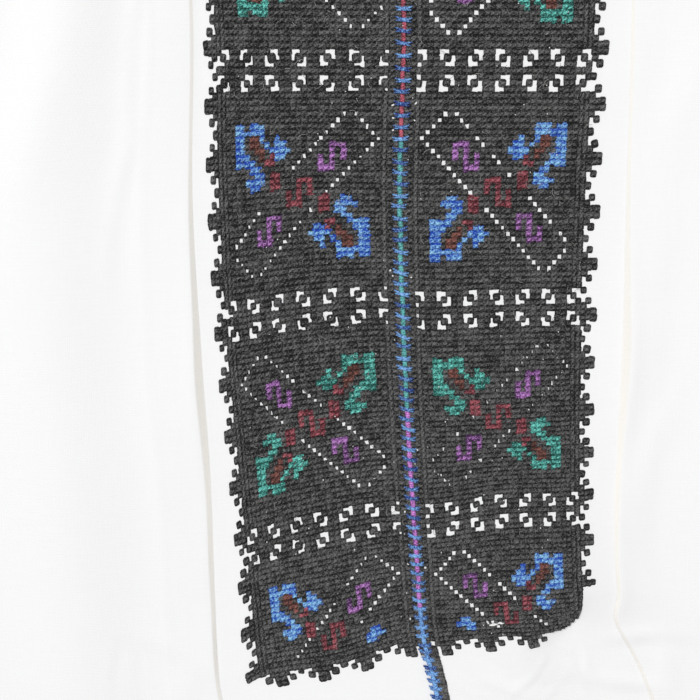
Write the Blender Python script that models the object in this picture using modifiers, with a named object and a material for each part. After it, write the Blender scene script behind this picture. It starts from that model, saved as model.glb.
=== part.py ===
"""Romanian ie blouse laid flat with its front up: cloth walls, raised embroidery and joining seam.

The blouse lies in the XY plane, neck towards +Y, hem towards -Y and front towards +Z. Every piece
is worked out in millimetres in the blouse's own frame, where x = 0 is the centre front, y = 0 the
hem and z = 0 the surface it lies on. The last step moves the whole to the middle of its own box.
"""

import math

import bmesh
import bpy
import numpy as np
from mathutils import Matrix, Vector

MM = 0.001

# ---- driving dimensions, in millimetres and degrees ----
WALL = 1.2                  # thickness of the linen wall
GAP = 0.3                   # clear space between two pieces at a seam
STITCH_WIDE = 1.87          # one cross-stitch, across
STITCH_TALL = 2.0           # one cross-stitch, down
BODY_COLUMNS = 33           # solid columns in half of the embroidered panel
TOOTH_COLUMNS = 3           # how far the stepped teeth stand out of the solid block
TOOTH_PERIOD = 9            # stitches from one tooth to the next
TOOTH_TALL = 2              # stitches along the edge in one tooth
FIRST_TOOTH_ROW = -76.5     # upper edge of the highest tooth
FOOT_TOOTH = {-1: 10, 1: 2}  # stitches from each half's inner edge to its first tooth below
EMBROIDERY_THICK = 1.0      # height of the worked wool over the linen
PANEL_TOP = -82.5           # stitch rows, counted down from the first white band that shows
PANEL_FOOT = 105.5
ROW_ZERO_Y = 401.0          # height of stitch row 0 over the hem
HEM_ROW = ROW_ZERO_Y / STITCH_TALL
SEAM_WIDE = 4.2             # the raised joining seam
SEAM_TALL = 1.5
SLIT_ROW = -26.0            # the neck slit runs from the neckband down to this row
SLIT_HALF = 3.5             # half of its width at the neckband

NECK_CENTRE = (0.0, 599.0)  # the neckband lies as an ellipse round this point
NECK_RADII = (98.0, 28.0)
BAND_TALL = 12.0
BAND_WALL = 2.2
FRONT_SEAM_ANGLE = -25.0    # where the sleeve meets the front, round the neck
FOLD_ANGLE = 12.0           # where the sleeve's shoulder fold starts
BACK_SEAM_ANGLE = 50.0      # where the sleeve meets the back

UNDERARM = (255.0, 367.0)   # gusset corner where front, sleeve and back meet
SIDE_TOP = (262.0, 295.0)   # gusset corner at the top of the side seam
HEM_HALF = 280.0            # half of the flat width at the hem
SLEEVE_DROP = 24.0          # how far the laid sleeve points below the level
SLEEVE_START = (97.5, 605.0)
GUSSET_REACH = 312.0        # where the gusset's far corner meets the sleeve, along the sleeve
GUSSET_DEPTH = 149.0
SLEEVE_LONG = 560.0
CUFF_LONG = 40.0
CUFF_WIDE = 105.0
CUFF_HIGH = 6.0
CUFF_WALL = 1.8
CUFF_TOP = 12.0             # the cuff's upper corner, below the sleeve's axis

BACK_MIDDLE = WALL / 2
FRONT_MIDDLE = WALL + GAP + WALL / 2
SLEEVE_MIDDLE = 2.9         # middle of the sleeve's upper layer

# ---- how the front lies, by stitch row: the seam, the width of each half and how far its columns
# ---- crowd together outwards, and the fold beside the panel: its distance and its rise
FRONT_COLUMNS = ("row", "seam", "left", "left_crowd", "right", "right_crowd",
                 "left_fold", "left_rise", "right_fold", "right_rise")
FRONT_LIE = (
    (-84, 0.0, 0.98, 0.03, 0.98, 0.03, 1.6, 1.1, 1.6, 1.0),
    (-45, 1.2, 0.93, 0.10, 0.97, 0.03, 3.0, 2.2, 4.0, 1.6),
    (-11, 2.3, 0.91, 0.13, 0.955, 0.03, 4.2, 3.2, 7.0, 2.2),
    (20, 0.2, 0.912, 0.13, 0.955, 0.03, 6.8, 3.4, 9.0, 2.8),
    (45, 0.3, 0.92, 0.13, 0.94, 0.03, 7.2, 3.8, 10.0, 2.6),
    (66, 2.2, 0.93, 0.12, 0.91, 0.03, 7.2, 4.0, 9.0, 2.2),
    (87, 3.6, 0.935, 0.09, 0.90, 0.02, 9.2, 3.4, 8.0, 1.6),
    (104, 5.8, 0.965, 0.02, 0.905, 0.01, 12.4, 2.8, 9.0, 1.2),
    (115, 10.7, 0.98, 0.0, 0.93, 0.0, 14.0, 2.4, 12.0, 1.4),
    (140, 17.0, 1.00, 0.0, 0.97, 0.0, 18.0, 1.8, 18.0, 1.8),
    (170, 14.0, 1.00, 0.0, 1.00, 0.0, 24.0, 1.4, 24.0, 1.4),
    (200.5, 8.0, 1.00, 0.0, 1.00, 0.0, 30.0, 0.9, 30.0, 0.9),
)
# ---- how far the stitch rows have slipped towards the hem, by distance from the seam
SLIP_PLACES = (-66.0, -57.0, -32.0, -7.0, 6.0, 31.0, 56.0)
SLIP_COLUMNS = ("row",) + SLIP_PLACES
FRONT_SLIP = (
    (-84, 0.0, 0.0, 0.0, 0.0, 0.0, 0.0, 0.0),
    (-30, -2.0, -2.0, -1.2, -0.2, 0.1, 0.9, 1.8),
    (0, -2.0, -2.1, -1.2, -0.3, 0.1, 1.0, 1.9),
    (20, -0.2, -0.7, -2.0, -1.0, -0.2, 0.6, 1.6),
    (40, 3.0, 1.6, -1.6, -2.4, 0.2, 0.5, 1.0),
    (60, 5.2, 2.8, -0.8, -3.2, -0.9, -1.0, -1.2),
    (80, 9.2, 5.9, -0.1, -3.6, -2.4, -6.4, -6.1),
    (100, 11.4, 6.6, 3.0, -4.2, -4.4, -6.4, -6.5),
    (108, 10.0, 6.4, 3.4, -4.6, -5.2, -8.0, -7.0),
    (125, 6.0, 4.0, 2.0, -3.0, -3.4, -5.0, -4.0),
    (150, 2.2, 1.5, 0.8, -1.0, -1.2, -1.8, -1.5),
    (176, 0.0, 0.0, 0.0, 0.0, 0.0, 0.0, 0.0),
)
FRONT_ROWS = (-82.5, -79, -73, -64, -46, -28, -10, -1, 8, 17, 26, 35, 44, 53, 62, 71, 80, 86, 92, 97,
              101.5, 105.5, 108.5, 112, 118, 126, 136, 150, 166, 184, 200.5)
PANEL_STATIONS = 8          # columns of facets over one half of the panel, teeth included
FRONT_GATHERS = 3           # gathers beside the first fold, on each half
SAMPLES = 4                 # facets in one gather

# ---- soft rises of the whole front: (x, y, reach across, reach down, height) ----
FRONT_PUFFS = (
    (44.0, 222.0, 34.0, 62.0, 6.5),
    (-30.0, 300.0, 70.0, 150.0, 2.2),
    (-150.0, 240.0, 70.0, 200.0, 3.0),
    (165.0, 330.0, 60.0, 170.0, 3.2),
    (20.0, 90.0, 90.0, 60.0, 2.6),
)
ROLL_CENTRE = (40.0, 216.0)  # the panel's lower right corner rolls down round this point
ROLL_RADIUS = 21.5           # beyond this the rolled corner draws in, most at ROLL_REACH further out
ROLL_REACH = 12.0
ROLL_DRAW = 5.5
ROLL_FADE = 70.0             # how far beyond that the cloth lies as it was again
DROP_RADIUS = 12.0           # beyond this it sinks
DROP_REACH = 16.0
DROP_SHARE = 0.7

# ---- the sleeve, by distance along it: lower edge, puff and gathers ----
SLEEVE_COLUMNS = ("along", "low", "puff", "cuff_gather", "neck_gather")
SLEEVE_LIE = (
    (0, 0.0, 0.2, 0.0, 1.4),
    (20, 0.0, 1.5, 0.0, 1.8),
    (60, 0.0, 3.5, 0.0, 2.4),
    (130, 0.0, 5.0, 0.2, 1.6),
    (237, 0.0, 5.0, 0.5, 0.8),
    (312, 149.0, 5.5, 0.9, 0.4),
    (390, 165.0, 7.0, 1.4, 0.0),
    (460, 172.0, 9.0, 2.2, 0.0),
    (510, 165.0, 9.5, 3.0, 0.0),
    (542, 142.0, 6.0, 2.8, 0.0),
    (560, 117.0, 1.0, 1.7, 0.0),
)
RAGLAN_SHARES = (0.0, 0.07, 0.22, 0.5, 1.0)
CUFF_GATHERS = 9
NECK_GATHERS = 3
BACK_GATHERS = 12
BACK_UPPER = (              # height at the centre, height at the raglan seam, gather
    (625.9, 618.6, 1.8),
    (618.5, 611.0, 1.6),
    (608.0, 602.0, 1.0),
    (597.0, 593.0, 0.3),
    (584.0, 583.0, 0.0),
)
BACK_LOWER = (470.0, UNDERARM[1], SIDE_TOP[1], 150.0, 0.0)

LINEN = ("linen", (0.90, 0.885, 0.85, 1.0), 0.85)
WOOL = ("wool", (0.035, 0.034, 0.036, 1.0), 0.95)
SEAM_THREAD = ("seam_thread", (0.06, 0.16, 0.62, 1.0), 0.8)


# ---- small helpers ----
def smooth(value):
    """Ease from 0 to 1."""
    value = min(max(value, 0.0), 1.0)
    return value * value * (3.0 - 2.0 * value)


def reading(table, columns, name, at):
    """One named column of a table at any place between its rows, on a smooth curve."""
    column = columns.index(name)
    places = [row[0] for row in table]
    values = [row[column] for row in table]
    if at <= places[0]:
        return values[0]
    if at >= places[-1]:
        return values[-1]
    k = int(np.searchsorted(places, at)) - 1
    before, after = max(k - 1, 0), min(k + 2, len(places) - 1)
    span = places[k + 1] - places[k]
    share = (at - places[k]) / span
    slope_in = (values[k + 1] - values[before]) / (places[k + 1] - places[before]) * span
    slope_out = (values[after] - values[k]) / (places[after] - places[k]) * span
    square, cube = share ** 2, share ** 3
    return ((2 * cube - 3 * square + 1) * values[k] + (cube - 2 * square + share) * slope_in
            + (3 * square - 2 * cube) * values[k + 1] + (cube - square) * slope_out)


def mix(start, end, share):
    return tuple(a + (b - a) * share for a, b in zip(start, end))


def material(kind):
    name, colour, roughness = kind
    made = bpy.data.materials.get(name)
    if made is None:
        made = bpy.data.materials.new(name)
        made.use_nodes = True
        shader = made.node_tree.nodes["Principled BSDF"]
        shader.inputs["Base Color"].default_value = colour
        shader.inputs["Roughness"].default_value = roughness
        shader.inputs["Metallic"].default_value = 0.0
        made.diffuse_color = colour
    return made


def add_object(name, bm, kind):
    mesh = bpy.data.meshes.new(name)
    bm.to_mesh(mesh)
    bm.free()
    mesh.materials.append(material(kind))
    piece = bpy.data.objects.new(name, mesh)
    bpy.data.collections["romanian_ie_blouse"].objects.link(piece)
    return piece


def add_wall(piece, thickness):
    wall = piece.modifiers.new("wall", "SOLIDIFY")
    wall.thickness = thickness * MM
    wall.offset = 0.0


def sheet(name, columns, rows, place, thickness, kind):
    """A cloth wall: a grid of points, each put where place(column, row) says."""
    bm = bmesh.new()
    bmesh.ops.create_grid(bm, x_segments=columns - 1, y_segments=rows - 1, size=0.5)
    for vertex in bm.verts:
        column = round((vertex.co.x + 0.5) * (columns - 1))
        row = round((0.5 - vertex.co.y) * (rows - 1))
        vertex.co = Vector(place(column, row)) * MM
    bmesh.ops.triangulate(bm, faces=bm.faces, quad_method="FIXED")
    piece = add_object(name, bm, kind)
    add_wall(piece, thickness)
    return piece


# ---- the front: two halves on one height field ----
def row_y(row):
    return ROW_ZERO_Y - row * STITCH_TALL


def neck_point(angle, outward=0.0):
    turn = math.radians(angle)
    return (NECK_CENTRE[0] + (NECK_RADII[0] + outward) * math.cos(turn),
            NECK_CENTRE[1] + (NECK_RADII[1] + outward) * math.sin(turn))


def slip(from_seam, row):
    """How far the cloth has slipped towards the hem at a distance from the seam."""
    values = [(place, reading(FRONT_SLIP, SLIP_COLUMNS, place, row)) for place in SLIP_PLACES]
    return reading(values, ("place", "slip"), "slip", from_seam)


def from_roll(x, y):
    """Distance from the centre of the rolled corner, and how squarely a place faces the corner."""
    right, low = x - ROLL_CENTRE[0], ROLL_CENTRE[1] - y
    if right <= 0 or low <= 0:
        return 0.0, 0.0
    return math.hypot(right, low), math.sin(2.0 * math.atan2(low, right)) ** 2


def front_rise(x, y):
    """Height of the front's soft puffs over its lowest level."""
    rise = 0.0
    for at_x, at_y, across, down, height in FRONT_PUFFS:
        rise += height * math.exp(-((x - at_x) / across) ** 2 - ((y - at_y) / down) ** 2)
    radius, turned = from_roll(x, y)
    rise *= 1.0 - DROP_SHARE * turned * smooth((radius - DROP_RADIUS) / DROP_REACH)
    return rise * smooth(y / 60.0) * smooth((560.0 - y) / 60.0)


def side_x(y):
    """The front's and back's outer edge: raglan seam, gusset, side seam."""
    if y > UNDERARM[1]:
        top = neck_point(FRONT_SEAM_ANGLE)
        return UNDERARM[0] + (top[0] - UNDERARM[0]) * (y - UNDERARM[1]) / (top[1] - UNDERARM[1])
    if y > SIDE_TOP[1]:
        share = (UNDERARM[1] - y) / (UNDERARM[1] - SIDE_TOP[1])
        return UNDERARM[0] + (SIDE_TOP[0] - UNDERARM[0]) * share
    return SIDE_TOP[0] + (HEM_HALF - SIDE_TOP[0]) * (SIDE_TOP[1] - y) / SIDE_TOP[1]


def front_reading(name, row):
    return reading(FRONT_LIE, FRONT_COLUMNS, name, row)


def centre_edge(row):
    """Half of the space between the two front halves: a joint, then the neck slit."""
    return GAP / 2 + (SLIT_HALF - GAP / 2) * smooth((SLIT_ROW - row) / (SLIT_ROW - PANEL_TOP))


EMBROIDERY_START = SEAM_WIDE / 2 + GAP / 2
BODY_WIDE = BODY_COLUMNS * STITCH_WIDE
TOOTH_WIDE = TOOTH_COLUMNS * STITCH_WIDE


def panel_across():
    """Distances from a half's centre edge to its lines of points over the panel."""
    inner = [EMBROIDERY_START + BODY_WIDE * k / (PANEL_STATIONS - 2) for k in range(PANEL_STATIONS - 1)]
    return [0.0] + inner + [EMBROIDERY_START + BODY_WIDE + TOOTH_WIDE]


PANEL_LINES = panel_across()
LINEN_LINES = 4 + FRONT_GATHERS * SAMPLES
FRONT_LINES = len(PANEL_LINES) + LINEN_LINES


def panel_point(side, across, row):
    """A point of the front's middle surface over the panel, before any lift."""
    name = "left" if side < 0 else "right"
    crowd = front_reading(name + "_crowd", row) * (1.0 - (across / PANEL_LINES[-1]) ** 2)
    from_seam = side * (centre_edge(row) + across * front_reading(name, row) * (1.0 + crowd))
    x = front_reading("seam", row) + from_seam
    y = row_y(row) - slip(from_seam, row)
    radius, turned = from_roll(x, y)
    beyond = radius - ROLL_RADIUS
    if beyond > 0:
        drawn = ROLL_DRAW * turned * smooth(beyond / ROLL_REACH) * (1.0 - smooth(beyond / ROLL_FADE))
        x, y = mix((x, y), ROLL_CENTRE, drawn / radius)
    return x, y, FRONT_MIDDLE + front_rise(x, y)


def linen_point(side, line, row):
    """A point of the plain linen beside the panel: the long fold first, then soft gathers."""
    name = "left" if side < 0 else "right"
    start = panel_point(side, PANEL_LINES[-1], row)
    foot = abs(start[0]) + front_reading(name + "_fold", row)
    high = front_reading(name + "_rise", row)
    if row < 17.0:
        level = row_y(row)
        side_y = UNDERARM[1] + 1.09 * (level - UNDERARM[1])
    else:
        side_y = row_y(row)
    edge = side_x(side_y) - GAP / 2
    zone = edge - foot
    places = [0.0, 1.5, 1.5 + 0.018 * zone + 0.9, 1.5 + 0.07 * zone + 1.2]
    lifts = [0.0, high, 1.12 * high, 0.55 * high]
    if line < len(places):
        distance, lift = places[line], lifts[line]
    else:
        step = line - len(places) + 1
        distance = places[-1] + (zone - places[-1]) * step / (FRONT_GATHERS * SAMPLES)
        near_neck = smooth((row + 20.0) / -62.0)
        swell = 1.0 * near_neck + 1.5 * (1.0 - near_neck) * smooth((HEM_ROW + 20.0 - row) / 160.0)
        wave = 0.5 - 0.5 * math.cos(2 * math.pi * step / SAMPLES + side * 0.5 * (1.0 - near_neck))
        lift = 2.0 * swell * wave + 0.55 * high * (1.0 - step / (FRONT_GATHERS * SAMPLES))
        lift *= 1.0 - smooth((step - FRONT_GATHERS * SAMPLES + 1.0))
    share = distance / zone
    x = foot + distance
    y = start[1] + (side_y - start[1]) * smooth(share)
    calm = 1.0 - smooth((share - 0.82) / 0.18)
    return side * x, y, FRONT_MIDDLE + lift + front_rise(side * x, y) * calm


def neck_edge(side, below):
    """The top line of a front half, on the gather line under the neckband."""
    x = below[0]
    limit = neck_point(FRONT_SEAM_ANGLE)[0] - GAP
    x = side * min(abs(x), limit)
    share = min(abs(x) / NECK_RADII[0], 0.99)
    stand = smooth((share - 0.3) / 0.5)
    y = NECK_CENTRE[1] - NECK_RADII[1] * math.sqrt(1.0 - share ** 2) - GAP - (BAND_WALL / 2 + GAP) * stand
    return x, y, below[2]


def front_point(side, line, station):
    """Point of the front's middle surface at a line across and a station down."""
    row = FRONT_ROWS[max(station - 1, 0)]
    if line < len(PANEL_LINES):
        point = panel_point(side, PANEL_LINES[line], row)
    else:
        point = linen_point(side, line - len(PANEL_LINES), row)
    return neck_edge(side, point) if station == 0 else point


def front_half(side, name):
    sheet(name, FRONT_LINES, len(FRONT_ROWS) + 1, lambda line, station: front_point(side, line, station),
          WALL, LINEN)


# ---- what lies on the front ----
def lifted(side, line, station, lift):
    """A point of the front moved out along its own normal."""
    here = Vector(front_point(side, line, station))
    last_line, last_station = FRONT_LINES - 1, len(FRONT_ROWS)
    across = (Vector(front_point(side, min(line + 1, last_line), station))
              - Vector(front_point(side, max(line - 1, 0), station)))
    down = (Vector(front_point(side, line, min(station + 1, last_station)))
            - Vector(front_point(side, line, max(station - 1, 0))))
    normal = across.cross(down)
    if normal.z < 0:
        normal = -normal
    return here + normal.normalized() * lift


def on_front(side, across, row, lift):
    """Any place over the panel, read straight between the front's own points."""
    line = min(max(int(np.searchsorted(PANEL_LINES, across)) - 1, 0), len(PANEL_LINES) - 2)
    station = min(max(int(np.searchsorted(FRONT_ROWS, row)) - 1, 0), len(FRONT_ROWS) - 2)
    u = (across - PANEL_LINES[line]) / (PANEL_LINES[line + 1] - PANEL_LINES[line])
    v = (row - FRONT_ROWS[station]) / (FRONT_ROWS[station + 1] - FRONT_ROWS[station])
    corners = [lifted(side, line + i, station + 1 + j, lift) for j in (0, 1) for i in (0, 1)]
    upper = corners[0].lerp(corners[1], u)
    lower = corners[2].lerp(corners[3], u)
    return upper.lerp(lower, v)


def tooth_rows():
    """Upper and lower edge of every tooth beside the panel."""
    first = FIRST_TOOTH_ROW
    count = int((PANEL_FOOT - first) // TOOTH_PERIOD) + 1
    return [(first + k * TOOTH_PERIOD, first + k * TOOTH_PERIOD + TOOTH_TALL) for k in range(count)]


def tooth_columns(side):
    """Inner and outer edge of every tooth below the panel."""
    edges = []
    for k in range(3):
        first = EMBROIDERY_START + (FOOT_TOOTH[side] + k * TOOTH_PERIOD) * STITCH_WIDE
        edges.append((first, first + TOOTH_TALL * STITCH_WIDE))
    return edges


def embroidery_half(side, name):
    """The worked block, on the front's own lines and stations, with stepped teeth at its edges."""
    body_edge, tip_edge = PANEL_LINES[-2], PANEL_LINES[-1]
    tip_row = PANEL_FOOT + TOOTH_COLUMNS
    lines = PANEL_LINES[1:]
    rows = [row for row in FRONT_ROWS if row <= tip_row]
    bm = bmesh.new()
    bmesh.ops.create_grid(bm, x_segments=len(lines) - 1, y_segments=len(rows) - 1, size=0.5)
    for vertex in bm.verts:
        column = round((vertex.co.x + 0.5) * (len(lines) - 1))
        row = round((0.5 - vertex.co.y) * (len(rows) - 1))
        vertex.co = Vector((lines[column], rows[row], 0.0))

    def cut(point, normal, chosen):
        faces = [face for face in bm.faces if chosen(face.calc_center_median())]
        around = faces + list({e for f in faces for e in f.edges}) + list({v for f in faces for v in f.verts})
        bmesh.ops.bisect_plane(bm, geom=around, dist=1e-6, plane_co=point, plane_no=normal)

    for edges in tooth_rows():
        for row in edges:
            cut((0, row, 0), (0, 1, 0), lambda c: c.x > body_edge)
    for edges in tooth_columns(side):
        for column in edges:
            cut((column, 0, 0), (1, 0, 0), lambda c: c.y > PANEL_FOOT)

    def waste(face):
        middle = face.calc_center_median()
        beside, below = middle.x > body_edge, middle.y > PANEL_FOOT
        in_row = any(a < middle.y < b for a, b in tooth_rows())
        in_column = any(a < middle.x < b for a, b in tooth_columns(side))
        return (beside and below) or (beside and not in_row) or (below and not in_column)

    bmesh.ops.delete(bm, geom=[face for face in bm.faces if waste(face)], context="FACES")
    lift = WALL / 2 + GAP + EMBROIDERY_THICK / 2
    for vertex in bm.verts:
        vertex.co = on_front(side, vertex.co.x, vertex.co.y, lift) * MM
    bmesh.ops.triangulate(bm, faces=bm.faces, quad_method="FIXED")
    piece = add_object(name, bm, WOOL)
    add_wall(piece, EMBROIDERY_THICK)


def joining_seam():
    """The raised seam over the joint of the two halves, from the foot of the slit to the hem."""
    rows = [SLIT_ROW] + [row for row in FRONT_ROWS if row > SLIT_ROW]
    offsets = (-1.0, -0.55, 0.0, 0.55, 1.0)
    crowns = (0.0, 0.55, 0.75, 0.55, 0.0)
    rib = SEAM_TALL / 2
    base = WALL / 2 + GAP + rib / 2

    def place(column, row):
        side = -1 if offsets[column] < 0 else 1
        across = max(abs(offsets[column]) * SEAM_WIDE / 2 - GAP / 2, 0.0)
        point = on_front(side, across, rows[row], base + crowns[column] * SEAM_TALL / 2)
        if offsets[column] == 0.0:
            other = on_front(-1, across, rows[row], base + crowns[column] * SEAM_TALL / 2)
            point = point.lerp(other, 0.5)
        return point

    sheet("joining_seam", len(offsets), len(rows), place, rib, SEAM_THREAD)


# ---- back ----
def back_piece():
    """One width of linen, flat on the surface, gathered at the neck."""
    lines = 2 * BACK_GATHERS * 2 + 1
    rows = len(BACK_UPPER) + len(BACK_LOWER)
    seam_share = neck_point(BACK_SEAM_ANGLE)[0] / NECK_RADII[0]
    seam_drop = 1.0 - math.sqrt(1.0 - seam_share ** 2)

    def place(line, row):
        across = 2.0 * line / (lines - 1) - 1.0
        if row >= len(BACK_UPPER):
            y = BACK_LOWER[row - len(BACK_UPPER)]
            return across * (back_side_x(y) - GAP / 2), y, BACK_MIDDLE
        centre_y, side_y, gather = BACK_UPPER[row]
        bow = (1.0 - math.sqrt(1.0 - (across * seam_share) ** 2)) / seam_drop
        wave = 0.5 - 0.5 * math.cos(math.pi * line)
        calm = 1.0 - smooth((abs(across) - 0.9) / 0.1)
        return (across * (back_side_x(side_y) - GAP), centre_y + (side_y - centre_y) * bow,
                BACK_MIDDLE + gather * wave * calm)

    sheet("back", lines, rows, place, WALL, LINEN)


def back_side_x(y):
    """The back's outer edge, whose raglan seam starts further up the neck than the front's."""
    if y <= UNDERARM[1]:
        return side_x(y)
    top = neck_point(BACK_SEAM_ANGLE)
    return UNDERARM[0] + (top[0] - UNDERARM[0]) * (y - UNDERARM[1]) / (top[1] - UNDERARM[1])


# ---- sleeves, gussets, cuffs ----
def sleeve_frame(side, along, below, height):
    """A point given along the sleeve, below its axis and over the surface."""
    turn = math.radians(SLEEVE_DROP)
    x = SLEEVE_START[0] + along * math.cos(turn) - below * math.sin(turn)
    y = SLEEVE_START[1] - along * math.sin(turn) - below * math.cos(turn)
    return side * x, y, height


def shoulder_fold(along):
    """How far the sleeve's upper fold lies below its axis."""
    return CUFF_TOP * (along / SLEEVE_LONG) ** 3 - 10.0 * math.sin(math.pi * along / SLEEVE_LONG)


def sleeve_edges(row):
    """Plan points of one row on the right sleeve: front edge, upper fold and back edge."""
    along = SLEEVE_LIE[row][0]
    fold = sleeve_frame(1, along, shoulder_fold(along), 0)[:2]
    if row == 0:
        fold = neck_point(FOLD_ANGLE, GAP + BAND_WALL / 2 + 1.2)
    if row < len(RAGLAN_SHARES):
        share = RAGLAN_SHARES[row]
        away = Vector((UNDERARM[1] - 587.0, 88.8 - UNDERARM[0])).normalized() * -GAP * 1.3
        front = Vector(mix(neck_point(FRONT_SEAM_ANGLE, BAND_WALL / 2), UNDERARM, share)) + away
        back = Vector(mix(neck_point(BACK_SEAM_ANGLE), UNDERARM, share)) + away
        return tuple(front), fold, tuple(back)
    low = sleeve_frame(1, along, SLEEVE_LIE[row][1], 0)[:2]
    return low, fold, low


def sleeve(side, name):
    """One rectangle of linen folded over the arm: upper layer, shoulder fold, lower layer."""
    upper, bend, lower = CUFF_GATHERS * SAMPLES, 4, 10
    columns = upper + bend + lower + 1
    rows = len(SLEEVE_LIE)
    phase = 0.0 if side > 0 else 1.1

    def place(column, row):
        along = SLEEVE_LIE[row][0]
        front, fold, back = sleeve_edges(row)
        at_cuff = smooth((along - 500.0) / 60.0)
        top = SLEEVE_MIDDLE + (CUFF_HIGH - CUFF_WALL / 2 - SLEEVE_MIDDLE) * at_cuff
        bottom = BACK_MIDDLE + (CUFF_WALL / 2 - BACK_MIDDLE) * at_cuff
        radius = (top - bottom) / 2
        tube = along >= GUSSET_REACH
        seam_high = (top + bottom) / 2 + (WALL + GAP) / 2 if tube else FRONT_MIDDLE + 0.2
        seam_low = (top + bottom) / 2 - (WALL + GAP) / 2 if tube else bottom
        inward = (Vector(front) - Vector(fold)).normalized()
        centre = Vector(fold) + inward * radius
        clear = BAND_WALL / 2 + GAP * 1.5
        if row == 0:
            centre = Vector(neck_point(FOLD_ANGLE, clear))
        puff = reading(SLEEVE_LIE, SLEEVE_COLUMNS, "puff", along)
        if column <= upper:
            share = column / upper
            plan = Vector(front).lerp(centre, share)
            if row == 0:
                plan = Vector(neck_point(FRONT_SEAM_ANGLE + (FOLD_ANGLE - FRONT_SEAM_ANGLE) * share, clear))
            calm = smooth(share / 0.12) * smooth((1.0 - share) / 0.12)
            cuff_wave = 0.5 - 0.5 * math.cos(2 * math.pi * CUFF_GATHERS * share)
            neck_wave = 0.5 - 0.5 * math.cos(2 * math.pi * NECK_GATHERS * share + phase)
            lift = (puff * math.sin(math.pi * share) ** 0.8
                    + reading(SLEEVE_LIE, SLEEVE_COLUMNS, "cuff_gather", along) * cuff_wave * calm
                    + reading(SLEEVE_LIE, SLEEVE_COLUMNS, "neck_gather", along) * neck_wave * calm)
            height = seam_high + (top - seam_high) * smooth(share / 0.15) + lift
        elif column < upper + bend:
            turn = math.pi * (column - upper) / bend
            plan = centre - inward * radius * math.sin(turn)
            height = (top + bottom) / 2 + radius * math.cos(turn)
        else:
            share = (column - upper - bend) / lower
            plan = centre.lerp(Vector(back), share)
            height = bottom + (seam_low - bottom) * smooth((share - 0.85) / 0.15)
        return side * plan.x, plan.y, height

    sheet(name, columns, rows, place, WALL, LINEN)


def gusset(side, name):
    """A small square set under the arm, folded on its diagonal between body and sleeve."""
    corner, side_corner = Vector(UNDERARM), Vector(SIDE_TOP)
    sleeve_corner = Vector(sleeve_frame(1, GUSSET_REACH, GUSSET_DEPTH, 0)[:2])
    centroid = (corner + side_corner + sleeve_corner) / 3
    corner, side_corner, sleeve_corner = [
        centroid + (point - centroid) * 0.955 for point in (corner, side_corner, sleeve_corner)]
    middle = (side_corner + sleeve_corner) / 2
    top, bottom = FRONT_MIDDLE + 0.4, BACK_MIDDLE
    radius = (top - bottom) / 2
    fold = (middle - corner).normalized()
    stops = [0.04, 0.36, 0.68, 1.0]
    flat = len(stops)
    bend = 3

    def place(column, row):
        across = row / 6.0 - 0.5
        if column < flat:
            share, height = stops[column], top
        elif column < flat + bend:
            turn = math.pi * (column - flat + 1) / (bend + 1)
            share, height = 1.0, (top + bottom) / 2 + radius * math.cos(turn)
            out = fold * radius * math.sin(turn)
        else:
            share, height = stops[flat - 1 - (column - flat - bend)], bottom
        plan = corner + (middle - fold * radius - corner) * share + (sleeve_corner - side_corner) * across * share
        if flat <= column < flat + bend:
            plan = plan + out
        return side * plan.x, plan.y, height

    sheet(name, 2 * flat + bend, 7, place, WALL, LINEN)


def cuff(side, name):
    """A double band of linen laid flat: a tube with round sides."""
    steps = 6
    radius = (CUFF_HIGH - CUFF_WALL) / 2
    left, right = CUFF_TOP + radius, CUFF_TOP + CUFF_WIDE - radius
    around = []
    for k in range(steps):
        share = k / steps
        around.append((left + (right - left) * share, 2 * radius))
    for k in range(steps):
        turn = math.pi * k / steps
        around.append((right + radius * math.sin(turn), radius + radius * math.cos(turn)))
    for k in range(steps):
        share = k / steps
        around.append((right + (left - right) * share, 0.0))
    for k in range(steps):
        turn = math.pi * k / steps
        around.append((left - radius * math.sin(turn), radius - radius * math.cos(turn)))
    bm = bmesh.new()
    bmesh.ops.create_cone(bm, cap_ends=False, segments=len(around), radius1=1.0, radius2=1.0, depth=1.0)
    for vertex in bm.verts:
        turn = math.atan2(vertex.co.y, vertex.co.x) % (2 * math.pi)
        below, height = around[round(turn / (2 * math.pi) * len(around)) % len(around)]
        along = SLEEVE_LONG + GAP + WALL * 0.1 + (vertex.co.z + 0.5) * CUFF_LONG
        vertex.co = Vector(sleeve_frame(side, along, below, height + CUFF_WALL / 2)) * MM
    piece = add_object(name, bm, LINEN)
    add_wall(piece, CUFF_WALL)


def neckband():
    """A doubled strip round the neck: it lies on the front and back and stands at the sides."""
    half_slit = math.degrees(SLIT_HALF / NECK_RADII[0])
    steps, rises = 44, 3

    def place(column, row):
        angle = -90.0 + half_slit + (360.0 - 2 * half_slit) * column / (steps - 1)
        turn = math.radians(angle)
        stand = abs(math.cos(turn)) ** 1.5
        x, y = neck_point(angle)
        tilt = math.radians(14.0 + 72.0 * smooth(stand))
        start = 2.9 - 1.2 * smooth(stand)
        if math.sin(turn) > 0.5:
            start -= (start - BAND_WALL / 2 - 0.1) * smooth((math.sin(turn) - 0.77) / 0.2)
            tilt *= 1.0 - 0.9 * smooth((math.sin(turn) - 0.77) / 0.2)
        rise = BAND_TALL * row / (rises - 1)
        lean = 1.0 - smooth(stand)
        return x, y + rise * math.cos(tilt) * (0.3 + 0.7 * lean), start + rise * math.sin(tilt)

    sheet("neckband", steps, rises, place, BAND_WALL, LINEN)


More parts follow.
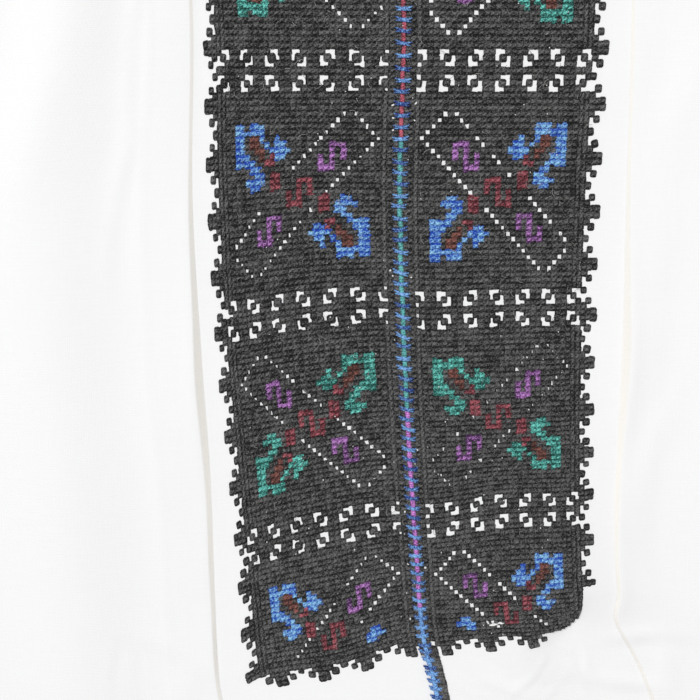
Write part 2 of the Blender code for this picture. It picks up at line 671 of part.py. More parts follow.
def settle(collection):
    """Move the blouse so that its box stands on the origin, centred."""
    bpy.context.view_layer.update()
    graph = bpy.context.evaluated_depsgraph_get()
    points = []
    for piece in collection.objects:
        mesh = piece.evaluated_get(graph).to_mesh()
        points += [piece.matrix_world @ vertex.co for vertex in mesh.vertices]
    low = np.min(points, axis=0)
    high = np.max(points, axis=0)
    shift = Vector((-(low[0] + high[0]) / 2, -(low[1] + high[1]) / 2, -low[2]))
    for piece in collection.objects:
        piece.data.transform(Matrix.Translation(shift))
    print("box", (high - low) / MM, "shift", shift / MM)


def main():
    for old in list(bpy.data.objects):
        bpy.data.objects.remove(old)
    collection = bpy.data.collections.new("romanian_ie_blouse")
    bpy.context.scene.collection.children.link(collection)
    back_piece()
    for side, word in ((-1, "left"), (1, "right")):
        front_half(side, f"front_{word}")
        embroidery_half(side, f"embroidery_{word}")
        sleeve(side, f"sleeve_{word}")
        gusset(side, f"gusset_{word}")
        cuff(side, f"cuff_{word}")
    joining_seam()
    neckband()
    settle(collection)


main()
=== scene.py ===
# %% [markdown]
# # Dressing a straight-cut linen blouse
# The solids of the blouse are already packed: back, two front halves, sleeves, gussets, cuffs,
# neckband, two blocks of embroidery and the seam that joins them. This lesson gives each of them its
# real surface: woven linen with creases, cross-stitches worked one by one in wool, and a barbed seam.
# Everything is worked out in millimetres in the blouse's own frame, where x = 0 is the centre front,
# y = 0 the hem and z = 0 the table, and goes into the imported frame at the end.

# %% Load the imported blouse
import math
from functools import partial

import bmesh
import bpy
import numpy as np
from mathutils import Matrix, Vector


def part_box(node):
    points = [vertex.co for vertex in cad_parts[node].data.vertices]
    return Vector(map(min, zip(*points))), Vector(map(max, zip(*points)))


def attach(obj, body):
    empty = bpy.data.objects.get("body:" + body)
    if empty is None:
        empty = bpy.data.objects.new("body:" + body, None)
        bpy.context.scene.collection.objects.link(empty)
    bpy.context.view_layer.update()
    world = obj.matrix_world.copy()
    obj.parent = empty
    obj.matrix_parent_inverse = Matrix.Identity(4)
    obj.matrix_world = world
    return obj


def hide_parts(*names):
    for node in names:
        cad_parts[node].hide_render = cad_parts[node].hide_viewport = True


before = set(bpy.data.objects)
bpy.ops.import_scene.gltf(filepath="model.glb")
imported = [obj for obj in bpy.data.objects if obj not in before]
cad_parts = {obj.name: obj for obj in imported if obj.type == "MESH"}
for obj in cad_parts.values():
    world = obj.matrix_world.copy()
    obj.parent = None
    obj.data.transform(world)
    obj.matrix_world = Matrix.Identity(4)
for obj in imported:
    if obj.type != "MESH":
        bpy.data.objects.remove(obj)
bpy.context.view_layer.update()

MM = 0.001
HEM_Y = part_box("back")[0][1] / MM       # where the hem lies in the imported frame

# %% [markdown]
# ## Sizes
# A cross-stitch is counted on the cloth's threads, so one stitch is the module of the whole front:
# 33 stitches wide and about 190 rows long on each half. The pieces keep to the sizes of their solids,
# within a few millimetres.

# %% Sizes
WALL = 1.2                  # the solid's cloth wall, mm
CLOTH = 0.9                 # the linen shown in it
GAP = 0.3
STITCH_WIDE, STITCH_TALL = 1.87, 2.0
COLUMNS, ROWS = 33, (-82, 105)          # of one half of the panel
TOOTH_COLUMNS, TOOTH_PERIOD = 3, 9
ROW_ZERO_Y = 401.0
HEM_ROW = ROW_ZERO_Y / STITCH_TALL
PANEL_TOP, PANEL_FOOT = -82.5, 105.5
SEAM_WIDE = 4.2
SLIT_ROW, SLIT_HALF = -26.0, 3.5
NECK_CENTRE, NECK_RADII = (0.0, 599.0), (98.0, 28.0)
BAND_TALL, BAND_WALL = 12.0, 2.2
FRONT_SEAM_ANGLE, FOLD_ANGLE, BACK_SEAM_ANGLE = -25.0, 12.0, 50.0
UNDERARM, SIDE_TOP, HEM_HALF = (255.0, 367.0), (262.0, 295.0), 280.0
SLEEVE_DROP, SLEEVE_START, SLEEVE_LONG = 24.0, (97.5, 605.0), 560.0
GUSSET_REACH, GUSSET_DEPTH = 312.0, 149.0
CUFF_LONG, CUFF_WIDE, CUFF_HIGH, CUFF_WALL, CUFF_TOP = 40.0, 105.0, 6.0, 1.8, 12.0
BACK_MIDDLE = WALL / 2
FRONT_MIDDLE = WALL + GAP + WALL / 2
SLEEVE_MIDDLE = 2.9
LINEN_TOP = CLOTH / 2       # the linen's upper face over its middle surface
HALVES = {-1: "left", 1: "right"}       # side of the centre front, as the viewer sees it
chance = np.random.default_rng(1907)

# %% [markdown]
# ## Reading a table as a smooth curve
# A garment maker notes a width at a few heights and draws the curve between them. `curve` does the
# same with a Catmull-Rom spline, for whole arrays of places at once, which keeps NumPy fast.

# %% Curves
def smooth(value):
    value = np.clip(value, 0.0, 1.0)
    return value * value * (3.0 - 2.0 * value)


def ripple(turns, start=0.0):
    """Even waves from 0 up to 1, one for each turn."""
    return 0.5 - 0.5 * np.cos(2 * math.pi * turns + start)


def curve(places, values, at):
    """Values between the noted places; values may be one list, or one array for each place."""
    places, values = np.asarray(places, float), np.asarray(values, float)
    at = np.clip(np.asarray(at, float), places[0], places[-1])
    k = np.clip(np.searchsorted(places, at, side="right") - 1, 0, len(places) - 2)
    before, after = np.maximum(k - 1, 0), np.minimum(k + 2, len(places) - 1)

    def value(index):
        if values.ndim == 1:
            return values[index]
        return np.take_along_axis(values, index[None], axis=0)[0]

    span = places[k + 1] - places[k]
    share = (at - places[k]) / span
    slope_in = (value(k + 1) - value(before)) / (places[k + 1] - places[before]) * span
    slope_out = (value(after) - value(k)) / (places[after] - places[k]) * span
    square, cube = share ** 2, share ** 3
    return ((2 * cube - 3 * square + 1) * value(k) + (cube - 2 * square + share) * slope_in
            + (3 * square - 2 * cube) * value(k + 1) + (cube - square) * slope_out)


# %% [markdown]
# ## How the front lies
# The cloth of the front is one height field with a seam down the middle. The first table gives, by
# stitch row, where the seam runs, how wide each half lies, and the fold beside the panel. The second
# gives how far the rows have slipped towards the hem. The solids were shaped by the same tables, apart
# from the seam, the left fold and the widths, which are set here within 2 mm of theirs.

# %% Tables of the front
LIE_COLUMNS = ("row", "seam", "left", "left_crowd", "right", "right_crowd",
               "left_fold", "left_rise", "right_fold", "right_rise")
LIE = np.array((
    (-84, 0.0, 0.98, 0.03, 0.98, 0.03, 1.6, 1.1, 1.6, 1.0),
    (-45, 1.2, 0.93, 0.10, 0.97, 0.03, 2.4, 2.2, 4.0, 1.6),
    (-11, 2.9, 0.92, 0.13, 0.945, 0.03, 3.1, 3.2, 7.0, 2.2),
    (20, 0.2, 0.912, 0.13, 0.955, 0.03, 5.3, 3.4, 9.0, 2.8),
    (45, 0.3, 0.92, 0.13, 0.94, 0.03, 5.4, 3.8, 10.0, 2.6),
    (66, 1.4, 0.917, 0.12, 0.923, 0.03, 6.6, 4.0, 9.0, 2.2),
    (87, 3.2, 0.929, 0.09, 0.906, 0.02, 9.1, 3.4, 8.0, 1.6),
    (104, 4.9, 0.945, 0.02, 0.925, 0.01, 10.4, 2.8, 9.0, 1.2),
    (115, 9.2, 0.957, 0.0, 0.953, 0.0, 12.3, 2.4, 12.0, 1.4),
    (140, 17.0, 1.00, 0.0, 0.97, 0.0, 18.0, 1.8, 18.0, 1.8),
    (170, 14.0, 1.00, 0.0, 1.00, 0.0, 24.0, 1.4, 24.0, 1.4),
    (200.5, 8.0, 1.00, 0.0, 1.00, 0.0, 30.0, 0.9, 30.0, 0.9),
))
SLIP_PLACES = (-66.0, -57.0, -32.0, -7.0, 6.0, 31.0, 56.0)
SLIP = np.array((
    (-84, 0.0, 0.0, 0.0, 0.0, 0.0, 0.0, 0.0),
    (-30, -2.0, -2.0, -1.2, -0.2, 0.1, 0.9, 1.8),
    (0, -2.0, -2.1, -1.2, -0.3, 0.1, 1.0, 1.9),
    (20, -0.2, -0.7, -2.0, -1.0, -0.2, 0.6, 1.6),
    (40, 3.0, 1.6, -1.6, -2.4, 0.2, 0.5, 1.0),
    (60, 5.2, 2.8, -0.8, -3.2, -0.9, -1.0, -1.2),
    (80, 9.2, 5.9, -0.1, -3.6, -2.4, -6.4, -6.1),
    (100, 11.4, 6.6, 3.0, -4.2, -4.4, -6.4, -6.5),
    (108, 10.0, 6.4, 3.4, -4.6, -5.2, -8.0, -7.0),
    (125, 6.0, 4.0, 2.0, -3.0, -3.4, -5.0, -4.0),
    (150, 2.2, 1.5, 0.8, -1.0, -1.2, -1.8, -1.5),
    (176, 0.0, 0.0, 0.0, 0.0, 0.0, 0.0, 0.0),
))
FRONT_PUFFS = (             # x, y, reach across, reach down, height
    (44.0, 222.0, 34.0, 62.0, 6.5),
    (-30.0, 300.0, 70.0, 150.0, 2.2),
    (-150.0, 240.0, 70.0, 200.0, 3.0),
    (165.0, 330.0, 60.0, 170.0, 3.2),
    (20.0, 90.0, 90.0, 60.0, 2.6),
)
ROLL_CENTRE, ROLL_RADIUS, ROLL_REACH, ROLL_DRAW, ROLL_FADE = (40.0, 216.0), 21.5, 12.0, 5.5, 70.0
DROP_RADIUS, DROP_REACH, DROP_SHARE = 12.0, 16.0, 0.7
BLOCK_START = SEAM_WIDE / 2 + GAP / 2
BLOCK_EDGE = BLOCK_START + COLUMNS * STITCH_WIDE
TOOTH_EDGE = BLOCK_EDGE + TOOTH_COLUMNS * STITCH_WIDE
GATHERS, SAMPLES = 3, 4


def lie(name, row):
    return curve(LIE[:, 0], LIE[:, LIE_COLUMNS.index(name)], row)


# %% [markdown]
# ## Creases
# Linen keeps every fold it has had. The main creases are listed one by one, each from one point to
# another with its own width and height, as a soft ridge with a shallow valley beside it. They are
# uneven along their length, because a crease is pressed hard in one place and hardly in the next.

# %% Creases
CREASES = (                 # x and y of both ends, width, height
    (-88, 383, -78, 440, 2.6, 0.40), (-97, 336, -88, 390, 2.8, 0.44), (-112, 430, -124, 330, 8.0, 0.7),
    (-106, 200, -109, 160, 1.8, -0.24), (-98, 196, -100, 160, 1.6, -0.20), (-84, 300, -88, 215, 5.0, 0.2),
    (20, 182, 29, 173, 1.0, -0.24), (28, 173.5, 44, 169, 1.1, -0.22), (15, 176, 28, 171, 1.2, 0.20),
    (40, 173, 49, 188, 1.4, 0.40), (47, 176, 57, 174, 1.0, -0.24), (34, 180, 38, 168, 1.1, 0.20),
    (56, 187, 65, 170, 1.6, 0.34), (60, 200, 67, 178, 1.6, 0.34), (24, 187, 35, 184, 1.1, -0.16),
    (49, 168, 58, 180, 1.2, 0.26), (30, 166, 42, 178, 1.2, 0.22), (44, 192, 50, 176, 1.3, -0.24),
    (-104, 210, -72, 176, 4.0, 0.3), (-82, 190, -100, 150, 5.0, 0.35), (-60, 160, -20, 146, 5.0, 0.6),
    (22, 178, 66, 166, 3.2, 0.55), (30, 172, 84, 150, 3.4, 0.5), (56, 184, 96, 168, 3.0, 0.55),
    (70, 196, 104, 190, 3.2, 0.5), (12, 150, 40, 120, 5.0, 0.7), (84, 214, 100, 160, 5.0, 0.6),
    (92, 300, 86, 236, 5.0, 0.5), (98, 410, 92, 330, 6.0, 0.7), (-40, 120, 30, 96, 7.0, 0.8),
    (60, 130, 120, 70, 8.0, 1.0), (-110, 120, -60, 60, 8.0, 0.9), (150, 200, 190, 90, 10.0, 1.0),
    (-190, 250, -160, 120, 10.0, 1.1), (-230, 300, -215, 200, 8.0, 0.7), (205, 290, 225, 180, 9.0, 0.8),
    (130, 420, 150, 300, 9.0, 0.9), (-150, 430, -170, 320, 9.0, 0.9), (-200, 140, -120, 30, 9.0, 0.9),
    (90, 60, 200, 30, 9.0, 0.7), (-30, 60, 60, 24, 7.0, 0.6), (180, 380, 225, 330, 6.0, 0.7),
    (-190, 390, -235, 335, 6.0, 0.7), (-240, 90, -200, 20, 7.0, 0.6), (235, 100, 210, 40, 7.0, 0.6),
)


UNEVEN = 0.10               # height of the cloth's general unevenness
CREASE_REACH, CREASE_FADE = 0.15, 0.4        # of a crease's length: how far it runs on, and fades over
VALLEY_DEPTH, VALLEY_PLACE = 0.45, 1.7       # the valley, in heights and widths of its ridge
CREASE_WANDER = 0.9         # how far a crease strays from straight, in its own widths


def crease_height(x, y, creases):
    """Height of the hand-placed creases and of the cloth's general unevenness."""
    x, y = np.broadcast_arrays(np.asarray(x, float), np.asarray(y, float))
    height = UNEVEN * np.sin(x / 13.0 + 1.3 * np.sin(y / 31.0)) * np.sin(y / 19.0 + x / 47.0)
    for number, (x0, y0, x1, y1, width, high) in enumerate(creases):
        length = math.hypot(x1 - x0, y1 - y0)
        along = ((x - x0) * (x1 - x0) + (y - y0) * (y1 - y0)) / length ** 2
        aside = ((x - x0) * (y1 - y0) - (y - y0) * (x1 - x0)) / length
        aside = aside + CREASE_WANDER * width * np.sin(3.1 * along + number)
        press = (smooth((along + CREASE_REACH) / CREASE_FADE)
                 * smooth((1.0 + CREASE_REACH - along) / CREASE_FADE))
        press = press * (0.75 + 0.25 * np.sin(9.0 * along + 2.0 * number))
        valley = np.exp(-((aside - VALLEY_PLACE * width) / width) ** 2)
        ridge = np.exp(-(aside / width) ** 2) - VALLEY_DEPTH * valley
        height = height + high * press * ridge
    return height


# %% [markdown]
# ## The front's surface
# Two functions give any point of a front half: `panel_surface` under the embroidery, by distance
# from the seam and stitch row, and `linen_surface` from the fold beside it out to the side seam.
# The rolled corner at the panel's foot draws in and sinks, as cloth does where it turns under.

# %% Surface of the front
FLAT_TOP, FLAT_REACH = 560.0, 60.0      # the front has no rises above this, nor at the hem


def from_roll(x, y):
    right, low = x - ROLL_CENTRE[0], ROLL_CENTRE[1] - y
    inside = (right > 0) & (low > 0)
    radius = np.where(inside, np.hypot(right, low), 0.0)
    turned = np.where(inside, np.sin(2.0 * np.arctan2(low, np.where(inside, right, 1.0))) ** 2, 0.0)
    return radius, turned


def front_rise(x, y):
    rise = sum(height * np.exp(-((x - at_x) / across) ** 2 - ((y - at_y) / down) ** 2)
               for at_x, at_y, across, down, height in FRONT_PUFFS)
    radius, turned = from_roll(x, y)
    rise = rise * (1.0 - DROP_SHARE * turned * smooth((radius - DROP_RADIUS) / DROP_REACH))
    rise = rise + crease_height(x, y, CREASES)
    return rise * smooth(y / FLAT_REACH) * smooth((FLAT_TOP - y) / FLAT_REACH)


def centre_edge(row):
    return GAP / 2 + (SLIT_HALF - GAP / 2) * smooth((SLIT_ROW - row) / (SLIT_ROW - PANEL_TOP))


def panel_surface(side, across, row):
    across, row = np.broadcast_arrays(np.asarray(across, float), np.asarray(row, float))
    crowd = lie(HALVES[side] + "_crowd", row) * (1.0 - (across / TOOTH_EDGE) ** 2)
    from_seam = side * (centre_edge(row) + across * lie(HALVES[side], row) * (1.0 + crowd))
    slips = np.array([curve(SLIP[:, 0], SLIP[:, 1 + k], row) for k in range(len(SLIP_PLACES))])
    x = lie("seam", row) + from_seam
    y = ROW_ZERO_Y - row * STITCH_TALL - curve(SLIP_PLACES, slips, from_seam)
    radius, turned = from_roll(x, y)
    beyond = np.maximum(radius - ROLL_RADIUS, 0.0)
    drawn = ROLL_DRAW * turned * smooth(beyond / ROLL_REACH) * (1.0 - smooth(beyond / ROLL_FADE))
    share = drawn / np.maximum(radius, 1.0)
    x, y = x + (ROLL_CENTRE[0] - x) * share, y + (ROLL_CENTRE[1] - y) * share
    return np.stack((x, y, FRONT_MIDDLE + front_rise(x, y)), axis=-1)


def neck_point(angle, outward=0.0):
    turn = np.radians(angle)
    return np.stack((NECK_CENTRE[0] + (NECK_RADII[0] + outward) * np.cos(turn),
                     NECK_CENTRE[1] + (NECK_RADII[1] + outward) * np.sin(turn)), axis=-1)


def side_x(y, seam_angle=FRONT_SEAM_ANGLE):
    """Outer edge of the front, or of the back with its own raglan seam."""
    top = neck_point(seam_angle)
    raglan = UNDERARM[0] + (top[0] - UNDERARM[0]) * (y - UNDERARM[1]) / (top[1] - UNDERARM[1])
    gusset = UNDERARM[0] + (SIDE_TOP[0] - UNDERARM[0]) * (UNDERARM[1] - y) / (UNDERARM[1] - SIDE_TOP[1])
    flank = SIDE_TOP[0] + (HEM_HALF - SIDE_TOP[0]) * (SIDE_TOP[1] - y) / SIDE_TOP[1]
    return np.where(y > UNDERARM[1], raglan, np.where(y > SIDE_TOP[1], gusset, flank))


RAGLAN_SPREAD, RAGLAN_ROW = 1.09, 17.0   # rows above this one fan out to the raglan seam
FOLD_FOOT = 0.12            # share of the fold's rise that is already there at its foot
FOLD_SETTLED = 0.55         # share of it that is left where the fold ends
FOLD_TOP, FOLD_SHARES = 2.2, (0.018, 0.07)   # how wide its top is, and the share of the linen it takes
GATHER_HIGH, GATHER_SHIFT, HEM_SWELL = 2.0, 0.5, 1.5     # mm; turned to each side; more at the hem
NECK_ROW, NECK_ROWS = -20.0, 62.0       # where the gathers of the neck end, and over how many rows
HEM_ROWS = 160.0            # and those of the hem
NEAR_SIDE = 0.18            # share of the linen, at the side seam, that lies flat
FOLD_SLOPE = np.array((     # row, width and rise of the pressed slope beside the panel
    (-84.0, 1.6, 0.9), (-11.0, 1.0, 0.55), (10.5, 1.0, 0.62), (23.0, 1.4, 1.1), (36.0, 1.9, 1.6),
    (49.5, 2.75, 2.15), (60.0, 2.4, 1.65), (70.5, 1.8, 1.15), (81.0, 1.7, 1.25), (89.0, 1.4, 1.05),
    (98.6, 1.3, 1.2), (106.5, 1.2, 0.85), (140.0, 1.6, 0.9), (200.5, 2.4, 0.6),
))


def linen_surface(side, turn, row):
    """turn runs -1..0 up to the fold, 0..3 over it, then 3..15 over the gathers to the side seam."""
    turn, row = np.broadcast_arrays(np.asarray(turn, float), np.asarray(row, float))
    fold, rise = (lie(f"{HALVES[side]}_{what}", row) for what in ("fold", "rise"))
    start = panel_surface(side, np.full(row.shape, TOOTH_EDGE), row)
    foot = np.abs(start[..., 0]) + fold
    level = ROW_ZERO_Y - row * STITCH_TALL
    side_y = np.where(row < RAGLAN_ROW, UNDERARM[1] + RAGLAN_SPREAD * (level - UNDERARM[1]), level)
    zone = side_x(side_y) - GAP / 2 - foot
    nought = np.zeros(row.shape)
    wall, climb = (curve(FOLD_SLOPE[:, 0], FOLD_SLOPE[:, k], row) for k in (1, 2))
    places = np.array((nought, wall, *(FOLD_TOP + wall + share * zone for share in FOLD_SHARES)))
    low, settled = FOLD_FOOT * rise, FOLD_SETTLED * rise
    lifts = np.array((low, low + climb, 0.5 * (low + climb + settled), settled))
    before, over = np.clip(turn + 1, 0, 1), np.clip(turn, 0, 3)
    step = np.clip(turn - 3, 0, GATHERS * SAMPLES)
    slope = np.minimum(over, 1.0)       # the fold's own slope is straight, with a sharp edge at each end
    distance = np.where(over < 1, wall * slope, curve(range(4), places, over))
    distance = distance + (zone - places[3]) * step / (GATHERS * SAMPLES)
    distance = distance - fold * (1.0 - before)
    near_neck = smooth((NECK_ROW - row) / NECK_ROWS)
    near_hem = smooth((HEM_ROW - NECK_ROW - row) / HEM_ROWS)
    swell = near_neck + HEM_SWELL * (1.0 - near_neck) * near_hem
    wave = ripple(step / SAMPLES, side * GATHER_SHIFT * (1.0 - near_neck))
    gathered = GATHER_HIGH * swell * wave + settled * (1.0 - step / (GATHERS * SAMPLES))
    gathered = gathered * (1.0 - smooth(step - GATHERS * SAMPLES + 1.0))
    folded = np.where(over < 1, low + climb * slope, curve(range(4), lifts, over))
    lift = np.where(turn < 3, folded * before ** 2, gathered)
    share = distance / zone
    x = side * (foot + distance)
    y = start[..., 1] + (side_y - start[..., 1]) * smooth(share)
    calm = 1.0 - smooth((share - (1.0 - NEAR_SIDE)) / NEAR_SIDE)
    return np.stack((x, y, FRONT_MIDDLE + lift + front_rise(x, y) * calm), axis=-1)


def raised(surface, across, row, height):
    """Points of a surface moved out along its own normals."""
    across, row, height = np.broadcast_arrays(*(np.asarray(v, float) for v in (across, row, height)))
    reach = 0.2             # a little step each way gives the slope
    run = surface(across + reach, row) - surface(across - reach, row)
    fall = surface(across, row + reach) - surface(across, row - reach)
    normal = np.cross(run, fall)
    normal *= np.sign(normal[..., 2:]) / np.linalg.norm(normal, axis=-1, keepdims=True)
    return surface(across, row) + normal * height[..., None]


print("panel corner", panel_surface(-1, BLOCK_EDGE, PANEL_FOOT).round(1))

# %% [markdown]
# ## Writing shader maths as sums
# A material with a weave is mostly arithmetic. `Wire` holds one socket, and its +, - and * add the
# Math nodes, so a pattern reads like the formula it is. Every other node comes from `Finish.node`.

# %% Shader helpers
class Wire:
    def __init__(self, finish, socket):
        self.finish, self.socket = finish, socket

    def _math(self, operation, *values):
        sockets = dict(enumerate(values))
        return self.finish.node("ShaderNodeMath", {"operation": operation}, sockets)

    def __add__(self, other):
        return self._math("ADD", self, other)

    def __sub__(self, other):
        return self._math("SUBTRACT", self, other)

    def __rsub__(self, other):
        return self._math("SUBTRACT", other, self)

    def __mul__(self, other):
        return self._math("MULTIPLY", self, other)

    def sine(self):
        return self._math("SINE", self)

    def size(self):
        return self._math("ABSOLUTE", self)

    __radd__, __rmul__ = __add__, __mul__


class Finish:
    """One material, built from its Principled shader outwards."""
    def __init__(self, name, roughness, **plain):
        self.material = bpy.data.materials.new(name)
        self.material.use_nodes = True
        self.tree = self.material.node_tree
        self.shader = self.tree.nodes["Principled BSDF"]
        self.shader.inputs["Roughness"].default_value = roughness
        for socket, value in plain.items():
            self.shader.inputs[socket.replace("_", " ")].default_value = value

    def node(self, kind, settings, sockets, output=0):
        made = self.tree.nodes.new(kind)
        for name, value in settings.items():
            setattr(made, name, value)
        for name, value in sockets.items():
            self.plug(made.inputs[name], value)
        return Wire(self, made.outputs[output])

    def plug(self, socket, value):
        if isinstance(value, Wire):
            self.tree.links.new(value.socket, socket)
        else:
            socket.default_value = value

    def lengths(self, uv_map):
        """A UV map of the mesh, and its two axes."""
        place = self.node("ShaderNodeUVMap", {"uv_map": uv_map}, {})
        axes = self.node("ShaderNodeSeparateXYZ", {}, {0: place}).socket.node.outputs
        return place, Wire(self, axes[0]), Wire(self, axes[1])

    def noise(self, place, scale, detail):
        return self.node("ShaderNodeTexNoise", {}, {"Vector": place, "Scale": scale, "Detail": detail})

    def noted(self, attribute):
        """A number that each point of the mesh carries."""
        return self.node("ShaderNodeAttribute", {"attribute_name": attribute}, {}, output=2)

    def blend(self, share, first, second):
        """Mix two colours."""
        sockets = {0: share, 6: first if isinstance(first, Wire) else (*first, 1.0),
                   7: second if isinstance(second, Wire) else (*second, 1.0)}
        return self.node("ShaderNodeMix", {"data_type": "RGBA"}, sockets, output=2)

    def dress(self, colour, height=None, strength=1.0, depth=0.0002):
        self.plug(self.shader.inputs["Base Color"], colour)
        if height is not None:
            bump = self.node("ShaderNodeBump", {}, {"Height": height, "Strength": strength,
                                                    "Distance": depth})
            self.plug(self.shader.inputs["Normal"], bump)
        return self.material


# %% [markdown]
# ## Linen
# Hand-woven linen is a plain weave of uneven threads: here 0.62 mm apart, three to a stitch. The
# pattern runs on the cloth's own UV map, laid out in metres along warp and weft, so it follows every
# fold. Slubs are long thin noise along each thread direction, and change colour a little. The
# attribute `fold_shade` marks the slope of the fold beside the panel, which is painted a darker,
# warmer colour: painted shade.

# %% Linen finish
THREAD_PITCH = 0.62
SLUB_LONG, SLUB_SHORT = 90.0, 1600.0    # unevennesses in a metre, along a thread and across it
SLUB_SHIFT, SLUB_HEIGHT = 1.4, 0.7      # how far a slub pushes its thread aside, and lifts it
THREAD_HEIGHT, CROSSING_HEIGHT = 0.5, 0.35
# painted shade: the darker, warmer colour of the fold's slope beside the panel
FOLD_SHADE_COLOUR = (0.90, 0.875, 0.825)


def linen_finish(name, light, dark, bump):
    finish = Finish(name, 0.88, Sheen_Weight=0.12)
    place, across, down = finish.lengths("cloth")

    def slub(in_width, in_length):
        spread = finish.node("ShaderNodeVectorMath", {"operation": "MULTIPLY"},
                             {0: place, 1: (in_width, in_length, 1.0)})
        return finish.noise(spread, 1.0, 3.0)

    weft_slub, warp_slub = slub(SLUB_LONG, SLUB_SHORT), slub(SLUB_SHORT, SLUB_LONG)
    turns = math.pi / (THREAD_PITCH * MM)
    warp = (across * turns + warp_slub * SLUB_SHIFT).sine()
    weft = (down * turns + weft_slub * SLUB_SHIFT).sine()
    weave = warp.size() * THREAD_HEIGHT + weft.size() * THREAD_HEIGHT + warp * weft * CROSSING_HEIGHT
    height = weave + weft_slub * SLUB_HEIGHT + warp_slub * SLUB_HEIGHT
    shade = finish.blend(weft_slub * 0.55 + warp_slub * 0.45, dark, light)
    # painted shade on the slope of the fold beside the panel
    shade = finish.blend(finish.noted("fold_shade"), shade, FOLD_SHADE_COLOUR)
    return finish.dress(shade, height, bump, 0.00022)


linen = linen_finish("linen", (0.925, 0.925, 0.925), (0.865, 0.865, 0.863), 0.18)
bleached_thread = linen_finish("bleached_thread", (0.95, 0.95, 0.94), (0.86, 0.86, 0.84), 0.3)

# %% [markdown]
# ## Wool
# The yarn is hand-spun and two-ply, so each thread has slanting twists and loose hairs. Its own UV
# map runs along and around the thread. The attribute `dye_and_shade` holds two things at once: how
# light this stitch was dyed, and painted shade by how deep each of its points lies, darkest down in
# the furrows.

# %% Wool finish
TWIST, SLANT, LOOSENESS = 15.0, 3.0, 2.5     # of the two plies: along, around, and how uneven
DYE_AND_SHADE, FLUFF, PLIES, PATCHES, DARKNESS = 1.05, 2.4, 0.14, 0.3, 2.0  # how much each shows in the colour


def wool_finish(name, deep, bright):
    finish = Finish(name, 0.9, Sheen_Weight=0.06, Sheen_Roughness=0.5)
    _, along, around = finish.lengths("thread")
    place = finish.node("ShaderNodeTexCoord", {}, {}, output=3)
    hairs, fluff, patches = (finish.noise(place, scale, detail)
                             for scale, detail in ((2400.0, 3.0), (1600.0, 1.0), (70.0, 2.0)))
    plies = (along * TWIST + around * SLANT + hairs * LOOSENESS).sine()
    # painted shade: dye_and_shade darkens the wool where a point lies deep in a furrow
    share = (finish.noted("dye_and_shade") * DYE_AND_SHADE + hairs + fluff * FLUFF + plies * PLIES
             + patches * PATCHES - DARKNESS)
    share = finish.node("ShaderNodeClamp", {}, {0: share})
    return finish.dress(finish.blend(share, deep, bright), plies + hairs * 1.6, 0.7, 0.00018)


WOOLS = {
    "black": wool_finish("black_wool", (0.004, 0.004, 0.004), (0.180, 0.177, 0.175)),
    "blue": wool_finish("blue_wool", (0.012, 0.070, 0.48), (0.36, 0.72, 1.0)),
    "green": wool_finish("green_wool", (0.008, 0.085, 0.07), (0.21, 0.80, 0.70)),
    "purple": wool_finish("purple_wool", (0.06, 0.018, 0.08), (0.66, 0.295, 0.76)),
    "red": wool_finish("red_wool", (0.07, 0.010, 0.016), (0.52, 0.14, 0.17)),
    "brown": wool_finish("brown_wool", (0.04, 0.014, 0.011), (0.34, 0.13, 0.105)),
}
SEAM_THREADS = {
    "scarlet": wool_finish("scarlet_thread", (0.11, 0.012, 0.022), (0.66, 0.145, 0.20)),
    "teal": wool_finish("teal_thread", (0.01, 0.08, 0.09), (0.17, 0.58, 0.56)),
    "lilac": wool_finish("lilac_thread", (0.12, 0.02, 0.14), (0.74, 0.28, 0.78)),
    "azure": wool_finish("azure_thread", (0.014, 0.040, 0.24), (0.27, 0.56, 1.0)),
    "black": WOOLS["black"],
}
STRAY = wool_finish("stray_wool", (0.04, 0.04, 0.04), (0.38, 0.37, 0.36))
print("wools:", list(WOOLS))

# %% [markdown]
# ## Making a sheet of cloth
# A grid operator gives the cloth's mesh, and each of its points goes where the surface function says.
# The UV map is measured along the cloth in metres, so the weave has its true size everywhere. A
# Solidify modifier gives the thickness.

# %% Sheets
def add(name, data):
    """A new object in the scene, at its origin."""
    thing = bpy.data.objects.new(name, data)
    bpy.context.scene.collection.objects.link(thing)
    return thing


def finish_piece(name, mesh, material):
    mesh.materials.append(material)
    mesh.shade_smooth()
    return add(name, mesh)


def into_mesh(name, bm):
    mesh = bpy.data.meshes.new(name)
    bm.to_mesh(mesh)
    bm.free()
    return mesh


WANDER = ((3.0, 51.0, 1.0), (1.1, 23.0, 0.3))    # how far cloth strays, over what length, from where
WANDER_ASIDE, WANDER_BELOW = (130.0, 90.0), (150.0, 110.0)      # where that starts, and over what length


def to_frame(points):
    """From the blouse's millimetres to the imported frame. Away from the panel no cloth lies straight."""
    points = np.asarray(points, float)
    x, y = points[..., 0], points[..., 1]
    away = np.maximum(smooth((np.abs(x) - WANDER_ASIDE[0]) / WANDER_ASIDE[1]),
                      smooth((WANDER_BELOW[0] - y) / WANDER_BELOW[1]))
    stray = [away * sum(far * np.sin(along / span + start) for far, span, start in WANDER)
             for along in (y + 40.0, x)]
    return (points + np.stack((stray[0], HEM_Y + stray[1], 0.0 * x), axis=-1)) * MM


def measured(points):
    """Lengths along and down a sheet of points, in metres."""
    def run(axis):
        steps = np.linalg.norm(np.diff(points, axis=axis), axis=-1)
        start = np.zeros_like(np.take(steps, [0], axis=axis))
        return np.concatenate((start, np.cumsum(steps, axis=axis)), axis=axis)
    down = run(0).mean(axis=1, keepdims=True) + np.zeros(points.shape[:2])
    return np.stack((run(1) * MM, down * MM), axis=-1)


